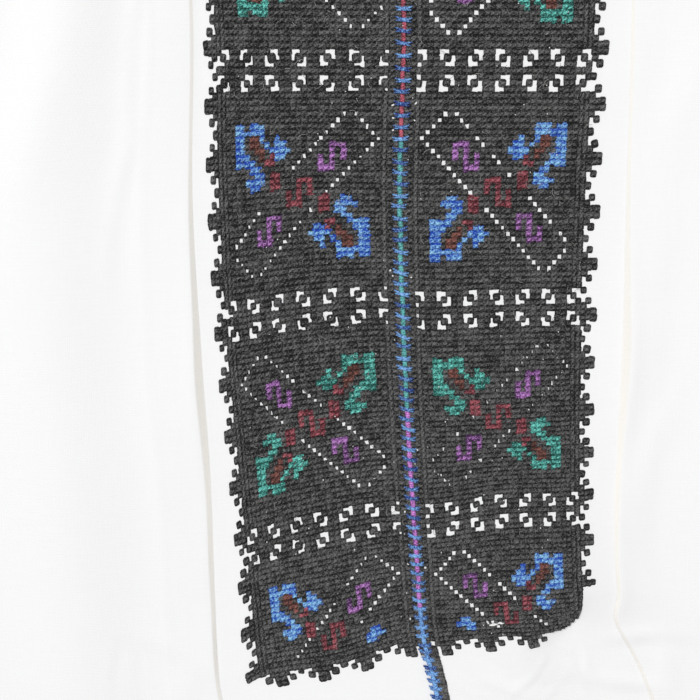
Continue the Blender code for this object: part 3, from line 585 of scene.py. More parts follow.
def cloth(name, points, material, thickness=CLOTH, closed=False, fold_shade=None):
    """A sheet from an array of points, rows down and columns across, seen from its upper face."""
    rows, columns = points.shape[:2]
    bm = bmesh.new()
    bmesh.ops.create_grid(bm, x_segments=columns - 1, y_segments=rows - 1, size=0.5)
    places, lengths = to_frame(points), measured(points)
    uv = bm.loops.layers.uv.new("cloth")
    # painted shade: each point's share of the fold's darker colour
    edge = bm.verts.layers.float.new("fold_shade")
    for vertex in bm.verts:
        column = round((vertex.co.x + 0.5) * (columns - 1))
        row = round((0.5 - vertex.co.y) * (rows - 1))
        vertex.co = places[row, column]
        vertex[edge] = 0.0 if fold_shade is None else fold_shade[column]
        for loop in vertex.link_loops:
            loop[uv].uv = lengths[row, column]
    if closed:
        bmesh.ops.remove_doubles(bm, verts=bm.verts, dist=1e-6)
    piece = finish_piece(name, into_mesh(name, bm), material)
    wall = piece.modifiers.new("cloth", "SOLIDIFY")
    wall.thickness, wall.offset = thickness * MM, 0.0
    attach(piece, "root")
    across, down = np.diff(places, axis=1)[:-1], np.diff(places, axis=0)[:, :-1]
    area = np.linalg.norm(np.cross(across, down), axis=-1).sum()
    print(name, rows, "x", columns, "points,", round(area, 4), "square metres")
    return piece


# %% [markdown]
# ## The two front widths
# Columns of points stand closer over the fold beside the panel, where the cloth turns sharply, and
# rows stand closer where the panel ends. The top row follows the neckband.

# %% Fronts
def neck_edge(below):
    """The gathered top line of a front half under the neckband."""
    limit = neck_point(FRONT_SEAM_ANGLE)[0] - GAP
    x = np.clip(below[:, 0], -limit, limit)
    share = np.minimum(np.abs(x) / NECK_RADII[0], 0.99)
    stand = smooth((share - 0.3) / 0.5)
    y = NECK_CENTRE[1] - NECK_RADII[1] * np.sqrt(1.0 - share ** 2) - GAP - (BAND_WALL / 2 + GAP) * stand
    return np.stack((x, y, below[:, 2]), axis=-1)


PANEL_PLACES = np.concatenate(([0.0, 0.8], np.linspace(BLOCK_START, TOOTH_EDGE, 49)))
FOLD_TURNS = np.concatenate(((-0.8, -0.6, -0.4, -0.2, -0.06, 0.0, 0.12, 0.3, 0.5, 0.7, 0.92, 1.0, 1.04),
                             np.linspace(1.1, 3.0, 12), np.linspace(3.0, 5.4, 23)[1:],
                             np.linspace(5.4, 15.0, 49)[1:]))
FRONT_ROWS = np.concatenate((np.linspace(PANEL_TOP, 92.0, 72), np.linspace(93.2, 120.0, 37),
                             np.linspace(122.5, HEM_ROW, 32)))

for side, word in HALVES.items():
    panel = panel_surface(side, PANEL_PLACES[None, :], FRONT_ROWS[:, None])
    beside = linen_surface(side, FOLD_TURNS[None, :], FRONT_ROWS[:, None])
    points = np.concatenate((panel, beside), axis=1)
    points = np.concatenate((neck_edge(points[0])[None], points))
    # painted shade: the fold's slope, from its foot to its top, takes the darker colour
    fold_shade = np.concatenate((0.0 * PANEL_PLACES, smooth((FOLD_TURNS + 0.06) / 0.18)
                              * smooth((1.04 - FOLD_TURNS) / 0.12)))
    if side < 0:
        points, fold_shade = points[:, ::-1], fold_shade[::-1]
    front = cloth(f"linen_front_{word}", points, linen, fold_shade=fold_shade)
    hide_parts(f"front_{word}")

# %% [markdown]
# ## The back
# The back is one width of linen lying flat on the table, gathered under the neckband in small even
# pleats. Two short tables give its height at the centre and at the raglan seam.

# %% Back
BACK_LINES = (              # height at the centre, height at the raglan seam, gather
    (625.9, 618.6, 1.8), (618.5, 611.0, 1.6), (608.0, 602.0, 1.0), (597.0, 593.0, 0.3),
    (584.0, 583.0, 0.0), (470.0, 470.0, 0.0), (UNDERARM[1], UNDERARM[1], 0.0),
    (SIDE_TOP[1], SIDE_TOP[1], 0.0), (150.0, 150.0, 0.0), (0.0, 0.0, 0.0),
)
BACK_GATHERS, PLEAT_POINTS, LINE_POINTS = 24, 12, 8


def back_surface(across, station):
    """across runs -1..1, station runs over the lines of the table."""
    across, station = np.broadcast_arrays(np.asarray(across, float), np.asarray(station, float))
    lines = np.array(BACK_LINES)
    centre_y, side_y, gather = (np.interp(station, range(len(lines)), lines[:, k]) for k in range(3))
    seam_share = neck_point(BACK_SEAM_ANGLE)[0] / NECK_RADII[0]
    bow = (1.0 - np.sqrt(1.0 - (across * seam_share) ** 2)) / (1.0 - math.sqrt(1.0 - seam_share ** 2))
    clear = np.interp(station, (3.9, 5.0), (GAP, GAP / 2))
    wave = ripple(BACK_GATHERS * (across + 1.0) / 2)
    calm = 1.0 - smooth((np.abs(across) - 0.9) / 0.1)
    return np.stack((across * (side_x(side_y, BACK_SEAM_ANGLE) - clear),
                     centre_y + (side_y - centre_y) * bow, BACK_MIDDLE + gather * wave * calm), axis=-1)


stations = np.linspace(0.0, len(BACK_LINES) - 1, LINE_POINTS * (len(BACK_LINES) - 1) + 1)
across = np.linspace(-1.0, 1.0, PLEAT_POINTS * BACK_GATHERS + 1)
back = cloth("linen_back", back_surface(across[None, :], stations[:, None]), linen)
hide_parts("back")

# %% [markdown]
# ## Sleeves
# Each sleeve is one rectangle folded round the arm, gathered at the neck and again at the cuff. The
# table gives, along the sleeve, its lower edge, how full it lies, and the two sets of gathers.

# %% Sleeves
SLEEVE_LIE = np.array((      # along, lower edge, puff, gathers at the cuff, gathers at the neck
    (0, 0.0, 0.2, 0.0, 1.4), (20, 0.0, 1.5, 0.0, 1.8), (60, 0.0, 3.5, 0.0, 2.4),
    (130, 0.0, 5.0, 0.2, 1.6), (237, 0.0, 5.0, 0.5, 0.8), (312, 149.0, 5.5, 0.9, 0.4),
    (390, 165.0, 7.0, 1.4, 0.0), (460, 172.0, 9.0, 2.2, 0.0), (510, 165.0, 9.5, 3.0, 0.0),
    (542, 142.0, 6.0, 2.8, 0.0), (560, 117.0, 1.0, 1.7, 0.0),
))
RAGLAN_SHARES = (0.0, 0.07, 0.22, 0.5, 1.0)
CUFF_GATHERS, NECK_GATHERS = 9, 3
SLEEVE_BOW = 10.0           # how far its upper fold bows up over a straight line
END_REACH = 60.0            # over this it settles into the neckband and the cuff
FOLD_CLEAR, RAGLAN_CLEAR, SEAM_RISE = 0.75, 1.3, 0.2    # clear of the band, of the front in gaps, and up
NEAR_FOLD, NEAR_SEAM = 0.12, 0.15       # shares of the width where gathers and seams even out
SLEEVE_CREASES = (          # x and y of both ends on the right sleeve, width, height
    (150, 560, 230, 470, 12.0, 1.2), (220, 540, 320, 430, 12.0, 1.0), (300, 500, 420, 400, 13.0, 1.3),
    (360, 430, 470, 330, 12.0, 1.1), (420, 440, 520, 360, 9.0, 1.0), (330, 360, 400, 300, 10.0, 1.0),
    (250, 440, 300, 380, 9.0, 1.1), (470, 380, 540, 300, 9.0, 0.9), (280, 400, 370, 350, 9.0, 0.9),
)


def sleeve_frame(along, below):
    """Plan of a point along the right sleeve and below its axis."""
    turn = math.radians(SLEEVE_DROP)
    return np.stack((SLEEVE_START[0] + along * math.cos(turn) - below * math.sin(turn),
                     SLEEVE_START[1] - along * math.sin(turn) - below * math.cos(turn)), axis=-1)


def sleeve_line(number, upper, bend, lower, phase):
    """One line of the table round the sleeve: points on its upper layer, fold and lower layer."""
    along, low, puff, cuff_gather, neck_gather = SLEEVE_LIE[number]
    drop = CUFF_TOP * (along / SLEEVE_LONG) ** 3 - SLEEVE_BOW * math.sin(math.pi * along / SLEEVE_LONG)
    fold = sleeve_frame(along, drop)
    clear = BAND_WALL / 2 + GAP * 1.5
    if number < len(RAGLAN_SHARES):
        share, corner = RAGLAN_SHARES[number], np.array(UNDERARM)
        start = neck_point(FRONT_SEAM_ANGLE)
        away = (corner - start) @ np.array(((0.0, -1.0), (1.0, 0.0)))
        away = away / np.linalg.norm(away) * -RAGLAN_CLEAR * GAP
        front = neck_point(FRONT_SEAM_ANGLE, BAND_WALL / 2) * (1 - share) + corner * share
        rear = neck_point(BACK_SEAM_ANGLE) * (1 - share) + corner * share
    else:
        away, front = 0.0, sleeve_frame(along, low)
        rear = front
    if number == 0:
        fold = neck_point(FOLD_ANGLE, clear + FOLD_CLEAR)
    at_cuff = float(smooth((along - SLEEVE_LONG + END_REACH) / END_REACH))
    top = SLEEVE_MIDDLE + (CUFF_HIGH - CUFF_WALL / 2 - SLEEVE_MIDDLE) * at_cuff
    bottom = BACK_MIDDLE + (CUFF_WALL / 2 - BACK_MIDDLE) * at_cuff
    radius, middle = (top - bottom) / 2, (top + bottom) / 2
    tube = along >= GUSSET_REACH
    seam_high = middle + (WALL + GAP) / 2 if tube else FRONT_MIDDLE + SEAM_RISE
    seam_low = middle - (WALL + GAP) / 2 if tube else bottom
    front, rear = front + away, rear + away
    inward = (front - fold) / np.linalg.norm(front - fold)
    centre = neck_point(FOLD_ANGLE, clear) if number == 0 else fold + inward * radius
    plan = front + (centre - front) * upper[:, None]
    if number == 0:
        plan = neck_point(FRONT_SEAM_ANGLE + (FOLD_ANGLE - FRONT_SEAM_ANGLE) * upper, clear)
    calm = smooth(upper / NEAR_FOLD) * smooth((1.0 - upper) / NEAR_FOLD)
    lift = puff * np.maximum(np.sin(math.pi * upper), 0.0) ** 0.8
    for gather, count, start in ((cuff_gather, CUFF_GATHERS, 0.0), (neck_gather, NECK_GATHERS, phase)):
        lift = lift + gather * ripple(count * upper, start) * calm
    high = seam_high + (top - seam_high) * smooth(upper / NEAR_SEAM) + lift
    turn = math.pi * bend[:, None]
    round_fold = centre - inward * radius * np.sin(turn)
    under = centre + (rear - centre) * lower[:, None]
    under_high = bottom + (seam_low - bottom) * smooth((lower - 1.0 + NEAR_SEAM) / NEAR_SEAM)
    plan = np.concatenate((plan, round_fold, under))
    height = np.concatenate((high, middle + radius * np.cos(turn[:, 0]), under_high))
    return np.column_stack((plan, height))


def sleeve(side, word):
    upper, lower = np.linspace(0.0, 1.0, 145), np.linspace(0.0, 1.0, 25)[1:]
    bend = np.linspace(0.0, 1.0, 9)[1:]
    phase = 0.0 if side > 0 else 1.1
    lines = np.array([sleeve_line(k, upper, bend, lower, phase) for k in range(len(SLEEVE_LIE))])
    places = SLEEVE_LIE[:, 0]
    along = np.concatenate([np.linspace(a, b, 1 + max(3, round((b - a) / 6)))[:-1]
                            for a, b in zip(places, places[1:])] + [[SLEEVE_LONG]])
    flat = lines.reshape(len(lines), -1).T
    points = np.stack([curve(places, line, along) for line in flat], axis=-1).reshape(len(along), -1, 3)
    straight = along < GUSSET_REACH
    for axis in (0, 1):
        for column in range(lines.shape[1]):
            points[straight, column, axis] = np.interp(along[straight], places, lines[:, column, axis])
    quiet = np.sin(math.pi * upper) * smooth((SLEEVE_LONG - along[:, None]) / END_REACH)
    quiet = quiet * smooth(along[:, None] / END_REACH)
    creased = crease_height(points[:, :len(upper), 0], points[:, :len(upper), 1], SLEEVE_CREASES)
    points[:, :len(upper), 2] += creased * smooth(quiet / 0.5)
    points[..., 0] *= side
    piece = cloth(f"linen_sleeve_{word}", points if side > 0 else points[:, ::-1], linen)
    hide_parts(f"sleeve_{word}")


for side, word in HALVES.items():
    sleeve(side, word)

# %% [markdown]
# ## Gussets, cuffs and neckband
# The gusset is a small square folded on its diagonal under the arm, which lets a straight-cut sleeve
# lift. Cuffs and neckband are doubled strips: they carry the gathers, so they are the thickest cloth.

# %% Gussets, cuffs and neckband
GUSSET_SHRINK = 0.955       # keeps its edges clear of the front and the sleeve
GUSSET_RISE = 0.4           # its upper layer lies this much over the front's


def gusset(side, word):
    corners = [np.array(UNDERARM), np.array(SIDE_TOP), sleeve_frame(GUSSET_REACH, GUSSET_DEPTH)]
    centroid = sum(corners) / 3
    corner, side_corner, sleeve_corner = [centroid + (place - centroid) * GUSSET_SHRINK
                                           for place in corners]
    middle = (side_corner + sleeve_corner) / 2
    top, bottom = FRONT_MIDDLE + GUSSET_RISE, BACK_MIDDLE
    radius = (top - bottom) / 2
    fold = (middle - corner) / np.linalg.norm(middle - corner)
    flat = np.linspace(0.04, 1.0, 13)
    turn = np.linspace(0.0, math.pi, 9)[1:-1]
    share = np.concatenate((flat, np.ones(len(turn)), flat[::-1]))[None, :, None]
    out = np.concatenate((0 * flat, radius * np.sin(turn), 0 * flat))[None, :, None]
    height = np.concatenate((0 * flat + top, (top + bottom) / 2 + radius * np.cos(turn),
                             0 * flat + bottom))
    across = np.linspace(-0.5, 0.5, 19)[:, None, None]
    plan = (corner + (middle - fold * radius - corner) * share
            + (sleeve_corner - side_corner) * across * share + fold * out)
    heights = np.broadcast_to(height[None, :, None], plan.shape[:2] + (1,))
    points = np.concatenate((plan, heights), axis=-1) * (side, 1.0, 1.0)
    piece = cloth(f"linen_gusset_{word}", points[:, ::-1] if side > 0 else points, linen)
    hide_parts(f"gusset_{word}")


def cuff_surface(side, below, along):
    """Middle of the cuff's wall; below runs 0..1 over its upper face, then on round the tube."""
    radius = (CUFF_HIGH - CUFF_WALL) / 2
    first, last = CUFF_TOP + radius, CUFF_TOP + CUFF_WIDE - radius
    part, share = np.floor(below), below - np.floor(below)
    turn = math.pi * share
    part = part.astype(int) % 4
    across = np.choose(part, (first + (last - first) * share, last + radius * np.sin(turn),
                              last + (first - last) * share, first - radius * np.sin(turn)))
    height = np.choose(part, (2 * radius + 0 * share, radius + radius * np.cos(turn),
                              0 * share, radius - radius * np.cos(turn)))
    plan = sleeve_frame(SLEEVE_LONG + GAP + WALL * 0.1 + along, across) * (side, 1.0)
    return np.concatenate((plan, height[..., None] + CUFF_WALL / 2), axis=-1)


def cuff(side, word):
    flat, bend = np.linspace(0.0, 1.0, 49)[:-1], np.linspace(0.0, 1.0, 9)[:-1]
    around = np.concatenate((flat, bend + 1.0, flat + 2.0, bend + 3.0, [4.0]))
    points = cuff_surface(side, *np.meshgrid(around, np.linspace(0.0, CUFF_LONG, 17)))
    piece = cloth(f"linen_cuff_{word}", points if side > 0 else points[:, ::-1], linen, CUFF_WALL, True)
    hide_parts(f"cuff_{word}")


BAND_TILT, BAND_STAND = 14.0, 72.0      # degrees: how it lies in front, and more at the shoulders


def neckband_surface(angle, rise):
    """Middle of the band's wall, by angle round the neck and distance up from its seam."""
    turn = np.radians(angle)
    stand = smooth(np.abs(np.cos(turn)) ** 1.5)
    at_back = np.where(np.sin(turn) > 0.5, smooth((np.sin(turn) - 0.77) / 0.2), 0.0)
    start = SLEEVE_MIDDLE - 1.2 * stand
    start = start - (start - BAND_WALL / 2 - 0.1) * at_back
    tilt = np.radians(BAND_TILT + BAND_STAND * stand) * (1.0 - 0.9 * at_back)
    level = neck_point(angle)
    return np.stack((level[..., 0], level[..., 1] + rise * np.cos(tilt) * (1.0 - 0.7 * stand),
                     start + rise * np.sin(tilt)), axis=-1)


def neckband():
    half_slit = math.degrees(SLIT_HALF / NECK_RADII[0])
    angles = np.linspace(-90.0 + half_slit, 270.0 - half_slit, 241)
    points = neckband_surface(*np.meshgrid(angles, np.linspace(BAND_TALL, 0.0, 9)))
    piece = cloth("linen_neckband", points, linen, BAND_WALL)
    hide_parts("neckband")


for side, word in HALVES.items():
    gusset(side, word)
    cuff(side, word)
neckband()

# %% [markdown]
# ## The stitch chart
# The pattern is charted for one half, counted outwards (u) and down (v) from the middle of each field.
# It repeats every 40 rows: a band left open in the black, then a field with a dotted lozenge, three
# hooked figures and a branch that crosses them. The other half mirrors the fields, and every second
# field is mirrored again and worked in green. The brackets of the bands run on the same way across
# both halves. Hand work isn't even: one field of each half sits a stitch out of place, some dots are
# stitched over, and others are half covered by a single thread, more in some fields than in others.

# %% Chart
BAND_PERIOD, FIELD_MIDDLE = 40, 20
BAND_REACH, UNIT_PERIOD, UNITS = 3, 5, 3    # rows from its middle, stitches to the next bracket, brackets
LOZENGE_REACH = 14          # half the square that holds the lozenge
LOZENGE_HALF, LOZENGE_LONG = 5, 23      # half its width, as u - v, and half its length, as u + v
UNIT_A, UNIT_B = ("WW.", "W.W", ".WW"), (".WW", "W.W", "WW.")
HOOK = ("XXX..", "X.X..", "X.X.X", "..X.X", "..XXX")
CROWN = {-11: (7, 8, 9, 11, 12), -10: (7, 8, 9, 10, 11, 12), -9: (7, 11, 12), -8: (6, 11, 12),
         -7: (11, 12), -6: (10, 11, 12), -5: (9, 10, 11, 12), -4: (8, 9), -3: (7, 8),
         -2: (7, 8, 9, 10), -1: (8, 9)}
STAR = {-9: (4,), -8: (3, 4), -7: (2, 3, 4, 5), -6: (3, 4)}
KNOT = {-3: (4, 5), -2: (4, 5), -1: (4, 5)}
STEM = ((5, -5), (6, -5), (5, -6), (7, -6), (7, -7), (8, -7), (8, -8), (9, -8), (9, -9), (8, -9))
RED_STEM = 3                # the first stitches of the stem are red, the rest brown
OPEN, HALF_WIDE = " ", COLUMNS // 2
LAST_CHARTED = 103          # below this row the block is finished in plain black
RIDGE_COLUMN = 1            # this column stands up in a ridge beside the seam
CORNER, CORNER_SLACK = 4, 0.2           # stitches in the radius of the rolled corner, and allowed past it
LAST_KNOT, LAST_KNOT_ROW = (11, 12), 100     # columns, and rows below this one, where it was left out
ROLLED_TEETH_ROW, ROLLED_FOOT_COLUMN = 95, 24    # beyond these the right half's teeth are rolled under
SHIFTED = {(-1, -1): (-1, 0), (1, -1): (0, 1)}   # (half, field): stitches out of place, (u, v)
WORKED_OVER = {             # (half, field): dots of the lozenge that the maker stitched over
    (-1, 0): ((2, -3), (3, -2), (5, 0), (6, 1), (7, 2), (-3, 2), (-1, 4)),
    (1, 0): ((-5, -10), (-2, -7), (1, -4), (3, -2), (5, 0), (11, 6), (-3, 2)),
    (-1, 1): ((-2, -7), (3, -2), (-5, 0), (-3, 2)),
    (1, 1): ((-3, -8), (1, -4), (3, -2), (6, 1), (7, 2), (9, 4), (10, 5), (-8, -3), (-5, 0), (-3, 2),
             (2, 7), (3, 8), (5, 10)),
    (-1, 2): ((-3, -8), (-2, -7), (-7, -2), (-5, 0), (-3, 2), (-2, 3)),
    (1, 2): ((-2, -7), (3, -2), (5, 0)),
}
BARE = {-1: (1.05, 0.95, 1.05), 1: (1.40, 0.30, 1.60)}   # how open the dots of fields 0, 1, 2 are
WELL_BARE = 1.2             # beyond this the wool beside the dots lies close as well


def charted_field(colour):
    """One field as a dictionary from (u, v) to a wool, or OPEN for bare linen."""
    field, counted = {}, range(-LOZENGE_REACH, LOZENGE_REACH + 1)
    for u in counted:
        for v in counted:
            slant, climb = abs(u - v) - LOZENGE_HALF, abs(u + v) - LOZENGE_LONG
            if max(slant, climb) == 0:
                field[u, v] = OPEN
    for missing in ((9, 14), (-9, -14), (14, 9)):
        field.pop(missing, None)
    for turn in (1, -1):
        for rows, wool in ((CROWN, colour), (STAR, colour), (KNOT, "red")):
            for v, places in rows.items():
                for u in places:
                    field[turn * u, turn * v] = wool
        for step, (u, v) in enumerate(STEM):
            field[turn * u, turn * v] = "red" if step < RED_STEM else "brown"
    for centre, wool in ((-6, "purple"), (6, "purple"), (0, "red")):
        for v, line in enumerate(HOOK, centre - len(HOOK) // 2):
            for u, mark in enumerate(line, centre - len(HOOK) // 2):
                if mark == "X":
                    field[u, v] = wool
    return field


FIELDS = [charted_field(colour) for colour in ("blue", "green")]     # even fields, odd fields


def from_nearest(row, first):
    """Rows from the nearest of the places that come once in every period."""
    return (row - first + BAND_PERIOD // 2) % BAND_PERIOD - BAND_PERIOD // 2


def field_place(side, u, row):
    """The field a stitch is in and its place there, mirrored in every second field."""
    v = from_nearest(row, FIELD_MIDDLE)
    number = (row - FIELD_MIDDLE - v) // BAND_PERIOD
    shift = SHIFTED.get((side, number), (0, 0))
    return number, (shift[0] - u if number % 2 == 1 else u - shift[0]), v - shift[1]


def chart(side, u, row):
    """The wool of one stitch, u counted outwards from the middle of a half."""
    if row > LAST_CHARTED:
        return "black"
    from_band = from_nearest(row, 0)
    if 1 <= abs(from_band) <= BAND_REACH:
        unit = round(u / UNIT_PERIOD)
        place = u - UNIT_PERIOD * unit
        if abs(place) > 1 or abs(unit) > UNITS:
            return "black"
        upper = from_band < 0
        kind = UNIT_A if (unit % 2 == 0) == (upper == (side > 0)) else UNIT_B
        line = kind[from_band + BAND_REACH if upper else from_band - 1]
        return OPEN if line[place + 1] == "W" and u > -HALF_WIDE else "black"
    number, u, v = field_place(side, u, row)
    return FIELDS[number % 2].get((u, v), "black")


TOOTH_STEPS = {0: 3, 1: 3, 2: 1, 3: -2, 5: 1, 7: -2, 8: 1}   # rows of a period: reach, or one apart
FIRST_TOOTH = -4            # the row where a period of the side's teeth starts
FOOT_TOOTH = {-1: 10, 1: 2}             # and the column where the foot's does, on each half


def tooth_stitches(step):
    """Which columns beyond the edge are worked at a step along it."""
    reach = TOOTH_STEPS.get(step % TOOTH_PERIOD, 0)
    return [abs(reach) - 1] if reach < 0 else list(range(reach))


def rolled_under(side, column, row):
    """The right half's corner rolls under: its outermost stitches and teeth lie out of sight."""
    beside, below = column - (COLUMNS - CORNER), row - (ROWS[1] - CORNER)
    cut_off = beside > 0 and below > 0 and math.hypot(beside, below) > CORNER + CORNER_SLACK
    teeth = column >= COLUMNS and row > ROLLED_TEETH_ROW or row > ROWS[1] and column > ROLLED_FOOT_COLUMN
    return side > 0 and (cut_off or teeth)


def worked_stitches(side):
    """(column, row, wool, kind) of every stitch on one half."""
    stitches = []
    for row in range(ROWS[0], ROWS[1] + 1):
        for column in range(COLUMNS):
            wool = chart(side, column - HALF_WIDE, row)
            number, u, v = field_place(side, column - HALF_WIDE, row)
            left_out = wool == "red" and row > LAST_KNOT_ROW and column in LAST_KNOT
            if left_out or wool == OPEN and (u, v) in WORKED_OVER.get((side, number), ()):
                wool = "black"
            if wool != OPEN:
                turned = column >= COLUMNS - 2 or column == RIDGE_COLUMN
                stitches.append((column, row, wool, "turned" if turned else "level"))
            elif abs(v) <= LOZENGE_REACH:
                stitches.append((column, row, "black", "half"))
        for beyond in tooth_stitches(row - FIRST_TOOTH):
            stitches.append((COLUMNS + beyond, row, "black", "level"))
    for column in range(COLUMNS):
        for below in tooth_stitches(column - FOOT_TOOTH[side]):
            stitches.append((column, ROWS[1] + 1 + below, "black", "level"))
    return [stitch for stitch in stitches if not rolled_under(side, stitch[0], stitch[1])]


worked = {side: worked_stitches(side) for side in HALVES}
print("stitches:", {side: len(stitches) for side, stitches in worked.items()})

# %% [markdown]
# ## One cross-stitch
# A cross-stitch is two short threads over one square. Each is a flat arch made from a small grid:
# thick soft wool spreads, so it is wider than it is high. The second thread arches over the first.
# The pair is shallower than its square, which leaves the dark furrows between the rows. At the outer
# edge of a half, and in one ridge beside the seam, the pairs are turned to run down the cloth. The
# ground under each is the wool that fills the square, painted in full shade, and it spreads a little
# over an open neighbour. Every thread carries painted light too, darker at its edges and ends.
# An open dot has a single thread beside it, and here and there a hair of wool has worked loose.

# %% Stitch shape
ROUND = ((-1.0, 0.0), (-0.5, 1.0), (0.5, 1.0), (1.0, 0.0))     # across a thread: offset, height


def small_grid(segments, strips):
    """Places from -0.5 to 0.5 both ways, and the faces between them."""
    bm = bmesh.new()
    bmesh.ops.create_grid(bm, x_segments=segments, y_segments=strips, size=0.5)
    bm.verts.index_update()
    places = [(vertex.co.x, vertex.co.y) for vertex in bm.verts]
    faces = [[vertex.index for vertex in face.verts] for face in bm.faces]
    bm.free()
    return places, faces


def arch(start, end, low, high, half_wide, segments=3, waist=0.6):
    """A bent thread on the cloth, in mm: points with their painted light, faces, thread UVs."""
    places, faces = small_grid(segments, len(ROUND) - 1)
    start, end = Vector(start), Vector(end)
    line = end - start
    aside = Vector((-line.y, line.x)).normalized()
    points, uvs = [], []
    for x, y in places:
        along = x + 0.5
        offset, height = ROUND[round((y + 0.5) * (len(ROUND) - 1))]
        bow = math.sin(math.pi * along)
        place = start + line * along + aside * offset * half_wide * (waist + (1.0 - waist) * bow)
        top = low + (high - low) * bow
        # painted shade: darker at the thread's edges and ends, lightest on its crown
        light = height * (0.5 + 0.5 * bow)
        points.append((place.x, place.y, top if height else low * 0.4, light))
        uvs.append((along * line.length / 2.0, offset))
    return np.array(points), faces, np.array(uvs)


def together(*shapes):
    points, faces, uvs, base = [], [], [], 0
    for shape_points, shape_faces, shape_uvs in shapes:
        points.append(shape_points)
        uvs.append(shape_uvs)
        faces += [[base + index for index in face] for face in shape_faces]
        base += len(shape_points)
    return np.concatenate(points), faces, np.concatenate(uvs)


def ground(wide, tall, cut, height):
    """The flat bed of wool under a stitch, with its corners rounded off, painted in full shade."""
    quarter = ((wide, tall - cut), (wide - cut, tall))
    corners = np.array([(x * side, y * end, height, 0.0)
                        for side, end in ((1, 1), (-1, 1), (-1, -1), (1, -1))
                        for x, y in quarter[::side * end]])
    return corners, [list(range(len(corners)))], corners[:, :2] * 0.5


SPREADS = (0.25, 0.38, 0.50, 0.62)     # how far wool spreads over an open neighbour, mm


def cross_stitch(wide, tall, spread):
    bed = ground(STITCH_WIDE / 2 + spread, STITCH_TALL / 2 + spread, 0.30 + spread / 2, 0.16)
    under = arch((-wide, tall), (wide, -tall), 0.40, 0.78, 0.50, 2)
    upper = arch((-wide, -tall), (wide, tall), 0.46, 1.16, 0.54, 3)
    return together(bed, under, upper)


HAIR_WIDE, HAIR_FOOT, HAIR_RISE, HAIR_COUNT = 0.17, 1.05, 0.45, 320      # the count is for one half


def stray_hair(length, bend):
    """One loose hair of wool: a very thin strip that curls over the stitches, painted fully lit."""
    places, faces = small_grid(3, 1)
    points = np.array([(x * length, bend * math.cos(math.pi * x) + y * HAIR_WIDE,
                        HAIR_FOOT + HAIR_RISE * math.cos(math.pi * x), 1.0) for x, y in places])
    return points, faces, points[:, :2]


CROSSES = {
    "level": [cross_stitch(STITCH_WIDE * 0.53, STITCH_TALL * 0.25, spread) for spread in SPREADS],
    "turned": [cross_stitch(STITCH_WIDE * 0.27, STITCH_TALL * 0.52, spread) for spread in SPREADS],
    "half": [arch((-STITCH_WIDE * slant, STITCH_TALL * 0.55),
                  (STITCH_WIDE * slant, -STITCH_TALL * 0.55),
                  0.40, 0.75, 0.45, 2, 0.9) for slant in (0.10, 0.25, 0.40, -0.15)],
}
STRAY_HAIRS = [stray_hair(length, bend)
               for length, bend in ((1.6, 0.3), (2.3, -0.5), (3.0, 0.7), (2.0, 0.1))]
print("triangles in a stitch:", sum(len(face) - 2 for face in CROSSES["level"][0][1]))

# %% [markdown]
# ## Working the panel
# The chart is worked by laying a stitch on every counted place, turned a little and pulled a little
# differently each time. All the stitches of one wool on one half are one mesh, and so are the loose
# hairs of a half. Only the black wool takes the place of the solid block, the rest lies beside it.

# %% Work the stitches
def placed(shape, across, row, side=1, angle=0.0, swell=1.0, dye=0.5):
    """A copy of a shape at a place on the cloth: (across, row, height, dye and painted shade) of its points.
    """
    points, faces, uvs = shape
    x = points[:, 0] * math.cos(angle) - points[:, 1] * math.sin(angle)
    y = points[:, 0] * math.sin(angle) + points[:, 1] * math.cos(angle)
    # the stitch's dye, half and half with the painted light of each point
    dye_and_shade = 0.5 * dye + 0.5 * points[:, 3]
    place = np.stack((across + side * x, row - y / STITCH_TALL, points[:, 2] * swell, dye_and_shade), axis=-1)
    return place, faces, uvs


def stitched_mesh(name, copies, material):
    """One mesh of many threads, each with its points in the blouse's frame and their dye and painted shade.
    """
    bases = np.cumsum([0] + [len(points) for points, _, _ in copies[:-1]])
    faces = [[base + index for index in face]
             for base, (_, some, _) in zip(bases, copies) for face in some]
    every = np.concatenate([points for points, _, _ in copies])
    mesh = bpy.data.meshes.new(name)
    mesh.from_pydata(to_frame(every[:, :3]), [], faces)
    uvs = np.concatenate([uvs for _, _, uvs in copies])
    corners = np.empty(len(mesh.loops), np.int32)
    mesh.loops.foreach_get("vertex_index", corners)
    mesh.uv_layers.new(name="thread").data.foreach_set("uv", uvs[corners].ravel())
    # dye and painted shade of every point, for the wool finish
    mesh.attributes.new("dye_and_shade", "FLOAT", "POINT").data.foreach_set("value", every[:, 3])
    piece = finish_piece(name, mesh, material)
    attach(piece, "root")
    print(name, len(copies), "stitches")
    return piece


def sewn(name, copies, surface, material):
    """Placed shapes laid on a surface."""
    every = np.concatenate([points for points, _, _ in copies])
    every[:, :3] = raised(surface, every[:, 0], every[:, 1], every[:, 2] + LINEN_TOP)
    laid = np.split(every, np.cumsum([len(points) for points, _, _ in copies])[:-1])
    copies = [(points, some, uvs) for points, (_, some, uvs) in zip(laid, copies)]
    return stitched_mesh(name, copies, material)


HAND = (0.07, 0.04, 0.09, 0.10)         # how uneven a stitch is: across, down, turn, swell
HALF_ASIDE, BARE_ASIDE, BARE_UNEVEN = 0.15, 0.85, 0.22      # how far the side thread of a dot stands off
RIDGE_SWELL = 0.3


